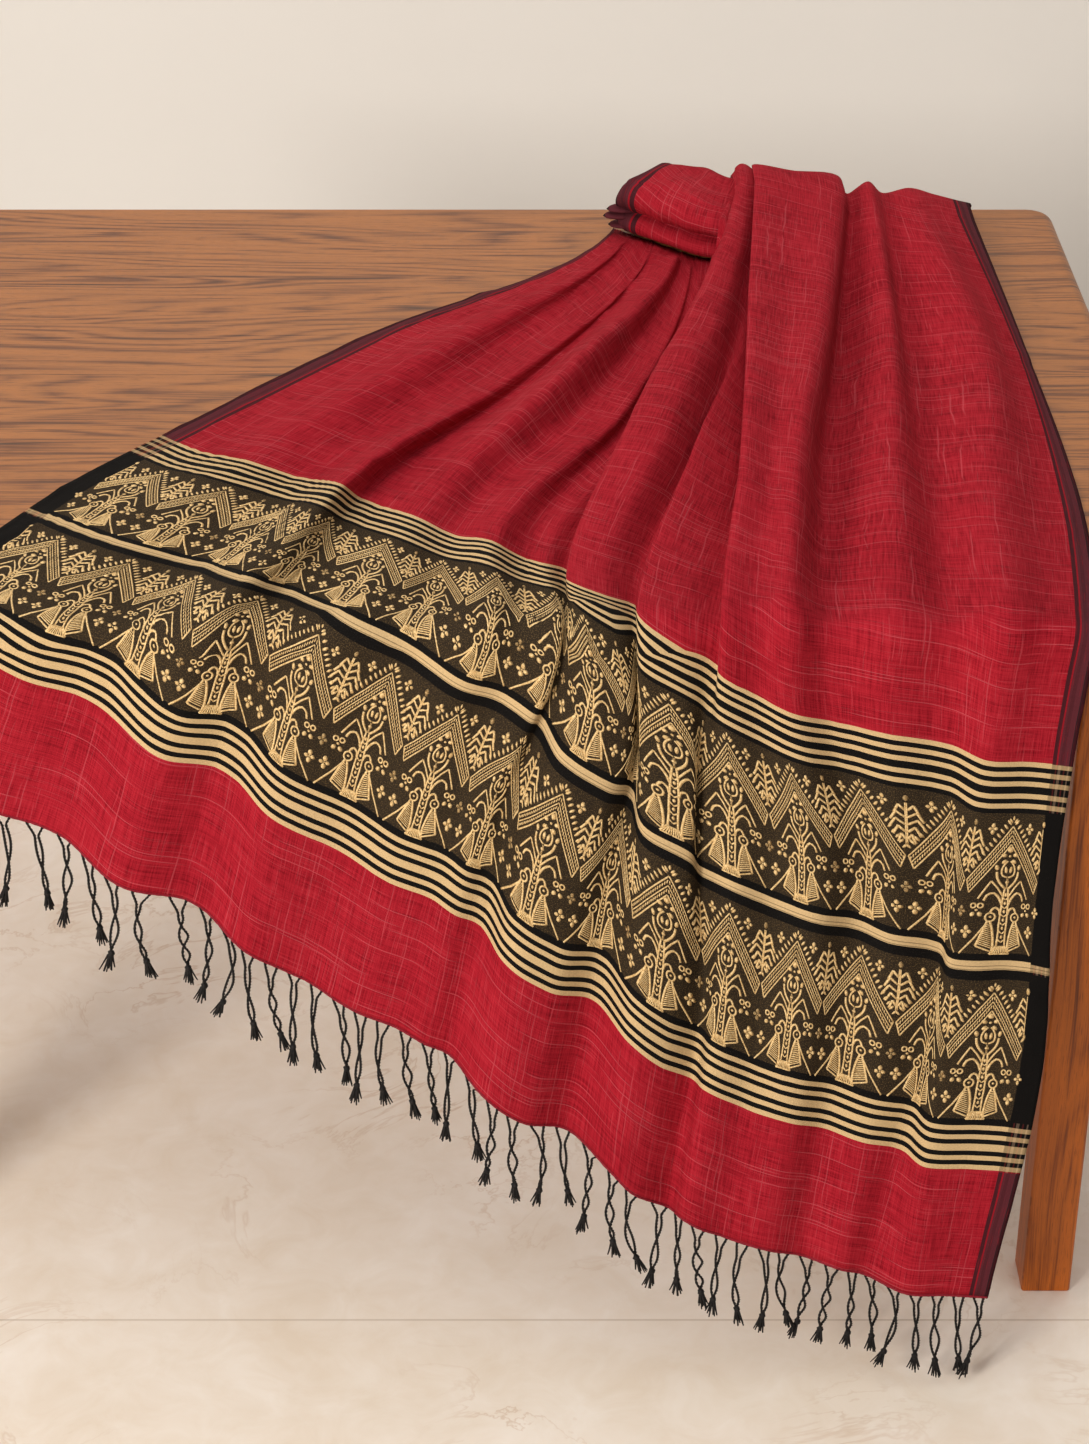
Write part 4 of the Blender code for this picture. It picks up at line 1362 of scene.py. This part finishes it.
    def _rings(self, half: float) -> list[Stroke]:
        """The rosettes' two round loops, and the tulip's outline."""
        lines = []
        for x in (half - 15.8, half - 10.2):
            lines.append(Stroke(self.fine * 0.95, True, (
                (x + 2.1, 49.6), (x + 1.4, 51.4), (x - 0.6, 51.8), (x - 2.1, 49.8),
                (x - 0.9, 47.6), (x + 1.2, 47.6), (x + 2.1, 49.6))))
        lines.append(Stroke(self.fine, True, (
            (0.4, 77.0), (4.4, 79.0), (5.6, 84.0), (3.8, 90.0), (1.2, 93.4))))
        return lines

    def leaf_list(self) -> list[Leaf]:
        """The leaves, petals, florets and beads of the right half."""
        half = self.width / 2
        slope = (self.valley - self.peak) / half
        shapes = []
        for k in range(self.leaves):
            x = 0.4 + k * (half - 4.6) / (self.leaves - 1)
            shapes.append(Leaf(x + 3.2, self.peak + slope * x + 4.6, 7.6, 2.9, 52))
        shapes += [Leaf(2.3, 133.6, 6.4, 2.5, 58), Leaf(0.0, 136.2, 5.6, 2.4, 90)]
        shapes += self._floret(half - 16.6, 126.0, 1.0)
        shapes += self._floret(half - 6.6, 23.5, 1.12)
        shapes += self._floret(half, 43.6, 1.0)
        shapes += [Leaf(half - 15.9, 41.0, 6.2, 4.9, 62), Leaf(half - 10.1, 41.0, 6.2, 4.9, 118),
                   Leaf(half - 13.0, 45.2, 3.2, 3.0, 0), Leaf(half, 131.6, 7.6, 4.6, 90),
                   Leaf(half, 87.0, 5.2, 3.2, 90)]
        shapes += [Leaf(0.0, 104.8, 7.4, 6.6, 90), Leaf(5.0, 99.4, 6.2, 5.0, 18),
                   Leaf(4.2, 92.8, 6.4, 4.4, 136), Leaf(0.0, 98.2, 3.0, 3.0, 0),
                   Leaf(2.0, 84.6, 8.8, 3.4, 84), Leaf(9.6, 87.2, 7.4, 4.2, 78),
                   Leaf(0.0, 72.4, 4.2, 4.2, 90)]
        shapes += [Leaf(0.0, y, 4.6, 2.8, 90) for y in (17.8, 26.4, 34.8, 43.4, 51.8, 60.0)]
        shapes.append(Leaf(10.0, 38.0, 3.0, 2.9, 0))
        return shapes

    @staticmethod
    def _floret(x: float, y: float, scale: float) -> list[Leaf]:
        """Four petals about a bead, the upright ones longer."""
        pairs = ((3.3, 6.2, 4.5, 90.0), (2.5, 4.4, 4.2, 0.0))
        petals = [Leaf(x, y, 1.8, 1.8, 0.0)]
        for out, length, width, lean in pairs:
            turn = math.radians(lean)
            petals += [Leaf(x + sign * out * scale * math.cos(turn),
                            y + sign * out * scale * math.sin(turn),
                            length * scale, width * scale, lean) for sign in (1.0, -1.0)]
        return petals


@dataclass
class WovenBand:
    """A band of raised weft figures right across the cloth."""

    surface: ClothSurface
    start: float
    height: float
    border: float = 0.024
    repeats: int = 16
    base: float = 0.00036
    rise: float = 0.00088
    spacing: float = 3.4
    blade_sides: int = 8
    blade_depth: float = 0.00005
    blade_point: float = 0.15

    def build(self, name: str, first: int, last: int,
              finish: bpy.types.Material) -> bpy.types.Object:
        """Make some of the band's repeats as one piece, laid on the cloth.

        Args:
            name: The piece's name.
            first: The first repeat.
            last: The one after the last.
            finish: The thread's finish.

        Returns:
            The piece.
        """
        points, faces = self._drawn()
        width = (CLOTH_WIDTH - 2 * self.border) / self.repeats
        repeat = TreeRepeat()
        parts = []
        for number in range(first, last):
            across = self.border + width * (number + 0.5) + points[:, 0] * width / repeat.width
            along = self.start + points[:, 1] * self.height / repeat.height
            parts.append((self.surface.lay(across, along, points[:, 2]), faces))
        return put_mesh(name, *joined_up(parts), finish)

    def _drawn(self) -> Part:
        """All of one repeat's figures, in millimetres across and along and metres up."""
        repeat = TreeRepeat()
        parts = []
        for stroke in repeat.strokes():
            parts += [self._ribbon(stroke, hand) for hand in (1.0, -1.0)]
        for leaf in repeat.leaf_list():
            hands = (1.0, -1.0) if leaf.x else (1.0,)
            parts += [self._blade(leaf, hand) for hand in hands]
        return joined_up(parts)

    def _ribbon(self, stroke: Stroke, hand: float) -> Part:
        """A thread line: a low roof-shaped section carried along its points.

        Args:
            stroke: The line.
            hand: 1 as drawn or -1 mirrored.

        Returns:
            Its points and its triangles.
        """
        knots = np.array(stroke.points, float) * (hand, 1.0)
        length = run_of(knots)
        count = max(2, int(math.ceil(length[-1] / self.spacing)) + 1)
        if stroke.round:
            at = np.linspace(0, length[-1], max(count, 2 * len(knots)))
            path = smooth_weights(length, at) @ knots
        else:
            at = np.unique(np.concatenate([np.linspace(0, length[-1], count), length]))
            path = np.stack([np.interp(at, length, knots[:, a]) for a in (0, 1)], axis=-1)
        run = unit(np.gradient(path, axis=0))
        side = np.stack([-run[:, 1], run[:, 0]], axis=-1) * stroke.width / 2
        low = np.full((len(path), 1), self.base)
        high = np.full((len(path), 1), self.rise)
        rings = np.stack([
            np.concatenate([path - side, low], axis=1),
            np.concatenate([path, high], axis=1),
            np.concatenate([path + side, low], axis=1)], axis=1)
        quads = tube_faces(len(path), 3)
        triangles = np.concatenate([quads[:, [0, 1, 2]], quads[:, [0, 2, 3]]])
        last = 3 * (len(path) - 1)
        caps = np.array([[2, 1, 0], [last, last + 1, last + 2]])
        return rings.reshape(-1, 3), [np.concatenate([triangles, caps])[:, ::-1]]

    def _blade(self, leaf: Leaf, hand: float) -> Part:
        """A leaf: a pointed oval with a low crown, closed under.

        Args:
            leaf: The leaf.
            hand: 1 as drawn or -1 mirrored.

        Returns:
            Its points and its triangles.
        """
        count = self.blade_sides
        turn = turns(count)
        long = leaf.length / 2 * np.cos(turn)
        wide = leaf.width / 2 * np.sin(turn) * np.abs(np.sin(turn)) ** self.blade_point
        lean = math.radians(leaf.lean)
        x = leaf.x + long * math.cos(lean) - wide * math.sin(lean)
        y = leaf.y + long * math.sin(lean) + wide * math.cos(lean)
        rim = np.stack([x, y, np.full(count, self.base)], axis=-1)
        middle = np.array([[leaf.x, leaf.y, height]
                           for height in (self.rise, self.base - self.blade_depth)])
        points = np.concatenate([rim, middle])
        points[:, 0] *= hand
        here = np.arange(count)
        there = (here + 1) % count
        top = np.stack([here, there, np.full(count, count)], axis=-1)
        under = np.stack([there, here, np.full(count, count + 1)], axis=-1)
        triangles = np.concatenate([top, under])
        return points, [triangles if hand > 0 else triangles[:, ::-1]]


# ---------------------------------------------------------------- the fringe

@dataclass
class KnottedFringe:
    """Tassels along the hem: two twisted cords each, knotted near the end and frayed below."""

    surface: ClothSurface
    tassels: int = 48
    nodes: int = 4
    spread: float = 0.0120
    length: float = 0.100
    floor_clearance: float = 0.004
    meets: float = 0.17
    knot: float = 0.79
    twin_gap: float = 0.0036
    ply_radius: float = 0.00094
    ply_offset: float = 0.00062
    ply_pitch: float = 0.0070
    rings: int = 58
    sides: int = 5
    hairs: int = 12
    hair_radius: float = 0.00108
    brush_radius: float = 0.0066
    knot_radius: float = 0.0031
    knot_length: float = 0.0072
    knot_rings: int = 9
    knot_lumps: float = 0.14
    knot_drop: float = 0.0018
    brush_drop: float = 0.003
    swing: tuple[float, float] = (0.0040, 0.0022)
    curl: tuple[float, float] = (0.0030, 0.001)
    lean: tuple[float, float] = (0.26, 0.34)
    passing: tuple[float, float] = (0.0034, -0.0026)
    shorter: tuple[float, float] = (0.93, 1.0)
    later: tuple[float, float] = (0.75, 1.35)
    crossings: tuple[float, float] = (0.9, 2.6)
    phase: tuple[float, float] = (-0.3, 0.3)
    belly: tuple[float, float] = (0.2, 1.5)
    hair_step: float = 2.4
    hair_out: tuple[float, float] = (0.75, 1.25)
    hair_length: tuple[float, float] = (0.80, 1.0)
    hem_inset: float = 0.0015
    lowest_hair: float = 0.0012
    shallower: float = 0.8
    pairs: tuple[int, ...] = (0, 3, 6, 8, 11, 15, 18, 22, 24, 28, 31, 34, 38, 42, 46)

    def build(self, finish: bpy.types.Material) -> list[bpy.types.Object]:
        """Make the fringe in as many pieces as the solids have.

        Args:
            finish: The cord's finish.

        Returns:
            The pieces, from the left.
        """
        chance = np.random.default_rng(11)
        share = self.tassels // self.nodes
        made = []
        for number in range(self.nodes):
            parts = []
            for tassel in range(number * share, (number + 1) * share):
                parts += self._tassel(tassel, chance)
            made.append(put_mesh(f"fringe_tassels_{number + 1}", *joined_up(parts), finish))
        return made

    def _sway(self, tassel: int, chance: np.random.Generator) -> np.ndarray:
        """How far a tassel's end swings: neighbours that caught on each other lean together."""
        sway = np.array([*(chance.normal(0, size) for size in self.swing), 0.0])
        pitch = CLOTH_WIDTH / self.tassels
        for number, sign in ((0, 1.0), (1, -1.0)):
            if tassel - number in self.pairs:
                sway[:2] = sign * pitch * chance.uniform(*self.lean), self.passing[number]
        return sway

    def _tassel(self, tassel: int, chance: np.random.Generator) -> list[Part]:
        """One tassel's cords, knot and frayed end.

        The cords leave the hem a little apart, bend in to meet, then wind loosely round each
        other down to the knot.
        """
        pitch = CLOTH_WIDTH / self.tassels
        middle = pitch * (tassel + 0.5)
        across = np.array([middle - self.spread / 2, middle + self.spread / 2])
        roots = self.surface.lay(across, np.full(2, self.hem_inset), np.zeros(2))
        centre = roots.mean(axis=0)
        room = roots[:, 2].min() - self.floor_clearance
        reach = min(self.length, room) * chance.uniform(*self.shorter)
        sway = self._sway(tassel, chance)
        curl = np.array([*(chance.normal(0, size) for size in self.curl), 0.0])
        meets = self.meets * chance.uniform(*self.later)
        crossings = chance.uniform(*self.crossings)
        phase = chance.uniform(*self.phase)
        share = np.linspace(0, self.knot, self.rings)
        down = centre + np.array([0.0, 0.0, -1.0]) * reach * share[:, None]
        down += sway * (share ** 1.4)[:, None] + curl * np.sin(share * math.pi * 1.25)[:, None]
        joined = fade(0.0, meets, share)[:, None]
        past = np.clip((share - meets) / (self.knot - meets), 0, 1)
        tight = 1 - fade(self.knot - 0.1, self.knot, share) * 0.6
        belly = 1 + np.sin(past * math.pi) * chance.uniform(*self.belly)
        parts = []
        for root, sign in zip(roots, (-1.0, 1.0)):
            turn = phase + math.pi * crossings * past
            apart = np.stack([
                np.cos(turn), self.shallower * np.sin(turn), np.zeros_like(turn)], axis=-1)
            apart *= (sign * self.twin_gap / 2 * tight * belly)[:, None]
            parts += self._cord(part_way(down + (root - centre), down + apart, joined))
        foot = down[-1]
        parts.append(self._knot(foot + np.array([0, 0, -self.knot_drop]), chance))
        way = unit(foot - down[-4])
        left = reach * (1 - self.knot) - self.brush_drop
        return parts + self._brush(foot + way * self.brush_drop, way, left, chance)

    def _cord(self, path: np.ndarray) -> list[Part]:
        """Two plies wound round each other along a path."""
        turn = run_of(path) / self.ply_pitch * 2 * math.pi
        flat = np.stack([np.cos(turn), np.sin(turn), np.zeros_like(turn)], axis=-1)
        radius = np.full(len(path), self.ply_radius)
        return [self._tube(path + flat * self.ply_offset * sign, radius, self.sides)
                for sign in (1.0, -1.0)]

    @staticmethod
    def _tube(path: np.ndarray, radius: np.ndarray, sides: int) -> Part:
        """A round tube: level rings of a radius along a falling path.

        Args:
            path: Its middle line, downwards.
            radius: The radius at each point.
            sides: How many sides it has.

        Returns:
            Its points and its faces.
        """
        turn = -turns(sides)
        ring = np.stack([np.cos(turn), np.sin(turn), np.zeros(sides)], axis=-1)
        points = (path[:, None] + ring[None] * radius[:, None, None]).reshape(-1, 3)
        return points, tube_body(len(path), sides)

    def _knot(self, middle: np.ndarray, chance: np.random.Generator) -> Part:
        """A knot: a lumpy ball, its radius waving as a wound cord's does."""
        rings = sides = self.knot_rings
        rise = np.linspace(0.06, 0.94, rings)[:, None]
        turn = -turns(sides)[None, :]
        lump = 1 + self.knot_lumps * np.sin(3 * turn + 8 * rise + chance.uniform(0, 6))
        radius = self.knot_radius * np.sin(rise * math.pi) ** 0.6 * lump
        drop = -(rise - 0.5) * self.knot_length + np.zeros_like(turn)
        points = np.stack([radius * np.cos(turn), radius * np.sin(turn), drop], axis=-1)
        return (points + middle).reshape(-1, 3), tube_body(rings, sides)

    def _brush(self, top: np.ndarray, way: np.ndarray, length: float,
               chance: np.random.Generator) -> list[Part]:
        """The frayed end: thin tapered hairs that part a little."""
        hairs = []
        share = np.linspace(0, 1, 5)
        for k in range(self.hairs):
            turn = self.hair_step * k + chance.uniform(*self.phase)
            part = math.sqrt((k + 0.5) / self.hairs)
            out = self.brush_radius * part * chance.uniform(*self.hair_out)
            aside = np.array([math.cos(turn), self.shallower * math.sin(turn), 0.0])
            long = length * chance.uniform(*self.hair_length)
            path = top + way * long * share[:, None] + aside * out * (
                0.28 + 0.72 * share[:, None] ** 1.1)
            path[:, 2] = np.maximum(path[:, 2], self.lowest_hair)
            hairs.append(self._tube(path, self.hair_radius * (1 - 0.4 * share), 4))
        return hairs


# ---------------------------------------------------------------- the folded stack

class Lobe(NamedTuple):
    """An inner fold's corner: its level in the stack, and its reach, half thickness and slant."""

    level: float
    out: float
    thick: float
    deep: float


LOBES = [
    Lobe(0.455, 0.010, 0.0045, 0.009),
    Lobe(0.60, 0.006, 0.0040, 0.006),
    Lobe(0.24, 0.004, 0.0040, 0.004),
]


def on_table(x: np.ndarray, place: np.ndarray, height: np.ndarray) -> np.ndarray:
    """Points over the table's top, in the row's frame."""
    return np.stack(
        [x + DRAPE_X, place - EDGE_ARC / 2 - ORIGIN_Y, height + TABLE_HEIGHT], axis=-1)


@dataclass
class FoldedStack:
    """The rest of the stole, folded: two soft rolls with their dark selvedges at the left."""

    seam_gap: float = 0.0004
    sections: int = 110
    lower_share: float = 0.44
    groove: float = 0.19
    notch: float = 0.42
    notch_height: float = 0.0026
    roll_rows: int = 15
    top_rows: int = 12
    nose: float = 0.012
    nose_sections: int = 16
    nose_crowding: float = 1.6
    nose_taper: float = 0.16
    nose_flatter: float = 0.12
    crown: float = 0.0022
    back_bulge: float = 0.8
    full_height: float = 0.03
    edge_inset: tuple[float, float] = (0.030, 0.006)
    edge_half_width: float = 0.016
    edge_rings: int = 11
    edge_sides: int = 12
    pattern_place: float = 0.7
    pattern_start: float = 0.002
    border_share: float = 0.62

    def build(self, finish: bpy.types.Material) -> list[bpy.types.Object]:
        """Make the stack and the folded edges that peep out between its rolls.

        Args:
            finish: The cloth's finish.

        Returns:
            The stack and its folded edges.
        """
        keys = np.array([row.front_x for row in STACK]) * MILLIMETRE
        at = np.concatenate([
            keys[0] + self.nose * np.linspace(0, 1, self.nose_sections) ** self.nose_crowding,
            np.linspace(keys[0] + self.nose, keys[-1], self.sections)[1:]])
        weights = smooth_weights(keys, at)
        columns = {name: weights @ np.array([getattr(row, name) for row in STACK]) * MILLIMETRE
                   for name in Slice._fields}
        shares, heights = self._outline(columns["top"])
        near_end = 1 - np.clip((at - keys[0]) / self.nose, 0, 1)
        taper = 1 - self.nose_taper * near_end ** 2
        shares = 0.5 + (shares - 0.5) * taper[:, None]
        middle = columns["top"] * 0.5
        flatter = 1 - self.nose_flatter * near_end ** 2
        heights = middle[:, None] + (heights - middle[:, None]) * flatter[:, None]
        x, place = (
            columns[f"front_{way}"][:, None]
            + (columns[f"back_{way}"] - columns[f"front_{way}"])[:, None] * shares
            for way in ("x", "place"))
        points = on_table(x, place, heights + self.seam_gap)
        points[..., 2] += self._puffs(points) * np.clip(heights / self.full_height, 0, 1)
        rings, sides = points.shape[:2]
        steps = np.linalg.norm(np.diff(points, axis=1, append=points[:, :1]), axis=-1)
        round_it = np.cumsum(steps, axis=1) - steps + self.pattern_place
        from_end = np.hypot(columns["front_x"] - columns["front_x"][0],
                            columns["front_place"] - columns["front_place"][0])
        inwards = np.repeat(from_end * self.border_share + self.pattern_start, sides)
        uv = np.stack([inwards, round_it.ravel()], axis=-1)
        stack = put_mesh("folded_stole", points.reshape(-1, 3),
                         tube_body(rings, sides, turned=True), finish, uv)
        return [stack, *self._edges(finish)]

    @staticmethod
    def _puffs(points: np.ndarray) -> np.ndarray:
        """Soft unevenness of a folded pile: a few slow waves crossing each other."""
        x, y = points[..., 0], points[..., 1]
        return 0.0011 * np.sin(x * 95 + y * 31) + 0.0008 * np.sin(y * 140 - x * 60 + 1.0)

    def _outline(self, top: np.ndarray) -> tuple[np.ndarray, np.ndarray]:
        """Each section's outline: shares of its depth from the front, and heights.

        The front bulges out at the middle of each roll and draws in deeply between the two,
        the back does so less, and the top is crowned.
        """
        bulge = np.linspace(0.0, 1.0, self.roll_rows)
        depth = self.groove * (1 - np.sin(math.pi * bulge) ** 0.5)
        floor_at = self.notch_height
        split = floor_at + (top - floor_at) * self.lower_share
        rolls = ((np.full_like(top, floor_at), split), (split, top))
        shares = [np.full_like(top, self.notch + 0.02), np.full_like(top, self.notch)]
        heights = [np.zeros_like(top), np.full_like(top, floor_at)]
        for number, (low, high) in enumerate(rolls):
            for s, d in list(zip(bulge, depth))[number:]:
                shares.append(np.full_like(top, d + 0.03 * (1 - number)))
                heights.append(low + s * (high - low))
        for s in np.linspace(0.20, 0.80, self.top_rows):
            shares.append(np.full_like(top, s))
            heights.append(top + self.crown * math.sin(math.pi * s) * np.ones_like(top))
        for number, (low, high) in reversed(list(enumerate(rolls))):
            low = low * number
            for s, d in list(zip(bulge, depth * self.back_bulge))[1 - number:]:
                shares.append(np.full_like(top, 1 - d))
                heights.append(high - s * (high - low))
        return np.stack(shares, axis=-1), np.stack(heights, axis=-1)

    def _edges(self, finish: bpy.types.Material) -> list[bpy.types.Object]:
        """The corners of inner folds at the left end: thin pinched lobes of dark selvedge."""
        first = STACK[0]
        front_x, front_place = first.front_x * MILLIMETRE, first.front_place * MILLIMETRE
        start_x, start_place = front_x + self.edge_inset[0], front_place + self.edge_inset[1]
        made = []
        turn = turns(self.edge_sides)
        along = np.linspace(0, 1, self.edge_rings)[:, None]
        width = np.sqrt(np.clip(1 - along ** 2.4, 0.0016, 1))
        for number, lobe in enumerate(LOBES):
            x = start_x + (front_x - lobe.out - start_x) * along + 0 * turn
            place = start_place + lobe.deep * (0.5 - along)
            place = place + self.edge_half_width * width * np.cos(turn)
            height = first.top * MILLIMETRE * lobe.level + lobe.thick * width * np.sin(turn)
            points = on_table(x, place, height)
            rings, sides = points.shape[:2]
            uv = np.stack([np.repeat(0.016 - 0.012 * along.ravel(), sides),
                           np.tile(self.pattern_place + 0.03 * turn / math.pi, rings)], axis=-1)
            made.append(put_mesh(f"folded_edge_{number + 1}", points.reshape(-1, 3),
                                 tube_body(rings, sides, turned=True), finish, uv))
        return made


# ---------------------------------------------------------------- the table

@dataclass
class WalnutTable:
    """A plain table: a rounded top, four square legs and the aprons between them."""

    width: float = 1.387
    depth: float = 1.040
    thickness: float = 0.030
    corner: float = 0.030
    under_edge: float = 0.0025
    arris: float = 0.0008
    leg_bevel: float = 0.0032
    apron_bevel: float = 0.0016
    ease_share: float = 0.6
    corner_steps: int = 9
    least_radius: float = 0.0004

    def build(self) -> list[tuple[bpy.types.Object, str]]:
        """Make the top, the legs and the aprons.

        Returns:
            Each piece and the solid that it replaces.
        """
        top_finish = WalnutFinish().build()
        upright = WalnutFinish("walnut_leg", axis=2, light=shade("B86019"), middle=shade("984A10"),
                               dark=shade("5F2A07"), plank=0.9).build()
        made = [(self._top(top_finish), "table_top")]
        for hand in ("left", "right"):
            for end in ("front", "back"):
                node = f"leg_{end}_{hand}"
                made.append((self._block(node, self.leg_bevel, upright), node))
        for side in ("front", "back", "left", "right"):
            node = f"apron_{side}"
            made.append((self._block(node, self.apron_bevel, top_finish), node))
        return made

    def _top(self, finish: bpy.types.Material) -> bpy.types.Object:
        """The top: a round-cornered outline carried up its edge's quarter round."""
        low, high = (np.array(corner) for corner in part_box("table_top"))
        middle = (low + high) / 2
        turn = np.linspace(0, math.pi / 2, 11)
        under, arris = self.under_edge, self.arris
        inset = np.concatenate([[under, arris, 0.0], EDGE_RADIUS * (1 - np.cos(turn))])
        level = np.concatenate([[low[2], low[2] + arris, low[2] + under],
                                high[2] - EDGE_RADIUS * (1 - np.sin(turn))])
        half = (self.width / 2, self.depth / 2)
        return self._lofted("walnut_table_top", middle, half, self.corner, inset, level, finish)

    def _block(self, node: str, bevel: float, finish: bpy.types.Material) -> bpy.types.Object:
        """A post or rail in its solid's box, every edge eased."""
        low, high = (np.array(corner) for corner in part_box(node))
        middle, half = (low + high) / 2, (high - low) / 2
        ease = bevel * self.ease_share
        turn = np.linspace(0, math.pi / 2, 4)
        inset = np.concatenate([ease * (1 - np.sin(turn)), ease * (1 - np.cos(turn))])
        level = np.concatenate([low[2] + ease * (1 - np.cos(turn)),
                                high[2] - ease * (1 - np.sin(turn))])
        return self._lofted(f"table_{node}", middle, half, bevel, inset, level, finish)

    def _lofted(self, name: str, middle: np.ndarray, half: Sequence[float], corner: float,
                inset: np.ndarray, level: np.ndarray,
                finish: bpy.types.Material) -> bpy.types.Object:
        """A body of round-cornered outlines, each drawn in by an inset at its level.

        Args:
            name: The piece's name.
            middle: Its middle.
            half: Half its width and half its depth.
            corner: The corners' radius.
            inset: How far each outline is drawn in.
            level: Each outline's height.
            finish: Its finish.

        Returns:
            The piece, shaded smooth over its eased edges only.
        """
        steps = self.corner_steps
        turn = (np.arange(4)[:, None] + np.linspace(0, 1, steps)[None, :]).ravel() * math.pi / 2
        sign_x = np.repeat([1.0, -1.0, -1.0, 1.0], steps)
        sign_y = np.repeat([1.0, 1.0, -1.0, -1.0], steps)
        radius = np.maximum(corner - inset, self.least_radius)[:, None]
        x = sign_x * (half[0] - inset[:, None] - radius) + radius * np.cos(turn)
        y = sign_y * (half[1] - inset[:, None] - radius) + radius * np.sin(turn)
        z = level[:, None] + np.zeros_like(x)
        points = np.stack([x + middle[0], y + middle[1], z], axis=-1).reshape(-1, 3)
        sides = len(turn)
        made = put_mesh(name, points, tube_body(len(level), sides), finish)
        flat = np.zeros(len(made.data.polygons), bool)
        flat[-2:] = True
        made.data.polygons.foreach_set("use_smooth", ~flat)
        return made


# ---------------------------------------------------------------- the room

class Lamp(NamedTuple):
    """A soft square light: its name, place, aim, size in metres, watts and tint."""

    name: str
    at: tuple[float, float, float]
    aim: tuple[float, float, float]
    size: float
    power: float
    tint: Colour


LAMPS = [
    Lamp("key", (-2.3, -3.5, 2.15), (0.05, -0.35, 0.6), 1.1, 152.0, (1.0, 0.96, 0.90)),
    Lamp("fill", (3.0, -3.2, 1.8), (0.1, -0.2, 0.5), 2.6, 12.0, (1.0, 0.97, 0.94)),
    Lamp("above", (-0.4, -1.2, 3.6), (-0.1, -0.5, 0.6), 2.4, 26.0, (1.0, 0.97, 0.93)),
    Lamp("wall_wash", (0.0, 0.9, 3.6), (0.0, 1.75, 0.9), 1.8, 26.0, (1.0, 0.98, 0.96)),
]


@dataclass
class Studio:
    """The camera, the floor, the wall and the soft lights."""

    lens: float = 74.8
    camera_at: tuple[float, float, float] = (0.1065, -2.7393, 1.974)
    pitch: float = 30.0
    wall_y: float = 1.75
    wall_height: float = 6.0
    reach: float = 9.0
    world_tint: Colour = (1.0, 0.96, 0.91)
    world_strength: float = 0.34

    def build(self) -> None:
        """Set up the room."""
        scene = bpy.context.scene
        scene.view_settings.view_transform = "Standard"
        camera = bpy.data.cameras.new("camera")
        camera.sensor_fit = "VERTICAL"
        camera.sensor_height = 36.0
        camera.lens = self.lens
        seat = bpy.data.objects.new("camera", camera)
        seat.location = self.camera_at
        seat.rotation_euler = (math.radians(90.0 - self.pitch), 0.0, 0.0)
        scene.collection.objects.link(seat)
        scene.camera = seat
        reach = self.reach
        across = (2 * reach, 0, 0)
        floor = self._plane("stone_floor", (-reach, -reach, 0), across, (0, 2 * reach, 0),
                            MarbleFinish().build())
        wall = self._plane("studio_wall", (-reach, self.wall_y, 0), across,
                           (0, 0, self.wall_height), PlasterFinish().build())
        for lamp in LAMPS:
            self._light(lamp)
        world = bpy.data.worlds.new("room_light")
        world.use_nodes = True
        tint, strength = world.node_tree.nodes["Background"].inputs[:2]
        tint.default_value = (*self.world_tint, 1.0)
        strength.default_value = self.world_strength
        scene.world = world

    @staticmethod
    def _plane(name: str, corner: Sequence[float], one: Sequence[float], other: Sequence[float],
               finish: bpy.types.Material) -> bpy.types.Object:
        """A flat sheet from a corner and its two sides."""
        corner, one, other = (np.array(v, float) for v in (corner, one, other))
        points = np.array([corner, corner + one, corner + one + other, corner + other])
        return put_mesh(name, points, [np.array([[0, 1, 2, 3]])], finish, smooth=False)

    @staticmethod
    def _light(lamp: Lamp) -> None:
        """A soft square light turned to its aim."""
        light = bpy.data.lights.new(lamp.name, "AREA")
        light.size = lamp.size
        light.energy = lamp.power
        light.color = lamp.tint
        made = bpy.data.objects.new(lamp.name, light)
        made.location = lamp.at
        way = Vector(lamp.aim) - Vector(lamp.at)
        made.rotation_euler = way.to_track_quat("-Z", "Y").to_euler()
        bpy.context.scene.collection.objects.link(made)


def main() -> None:
    """Build each sub-assembly in order and report it."""
    Studio().build()
    surface = ClothSurface(Drape())
    cloth = StoleCloth(surface)
    sheet = settle(cloth.build(), Slot.RED, "hanging_stretch", "lying_stretch", "pleated_stretch")
    hem = settle(cloth.hem(), Slot.RED)
    with_it = [hem]
    thread = GOLD.build()
    for title, start, height in (("lower", 0.1810, 0.1390), ("upper", 0.3455, 0.1360)):
        band = WovenBand(surface, start, height)
        half = band.repeats // 2
        for hand, first, last in (("left", 0, half), ("right", half, band.repeats)):
            made = band.build(f"{title}_band_{hand}", first, last, thread)
            with_it.append(settle(made, Slot.WOVEN))
    for number, made in enumerate(KnottedFringe(surface).build(CORD.build())):
        with_it.append(settle(made, Slot.FRINGE, f"fringe_{number + 1}"))
    stack, *edges = FoldedStack().build(sheet.data.materials[0])
    with_it.append(settle(stack, Slot.FOLDED, "folded_stack"))
    with_it += [settle(edge, Slot.FOLDED) for edge in edges]
    table = WalnutTable().build()
    for made, node in table:
        settle(made, Slot.WALNUT, node)


if __name__ == "__main__":
    main()
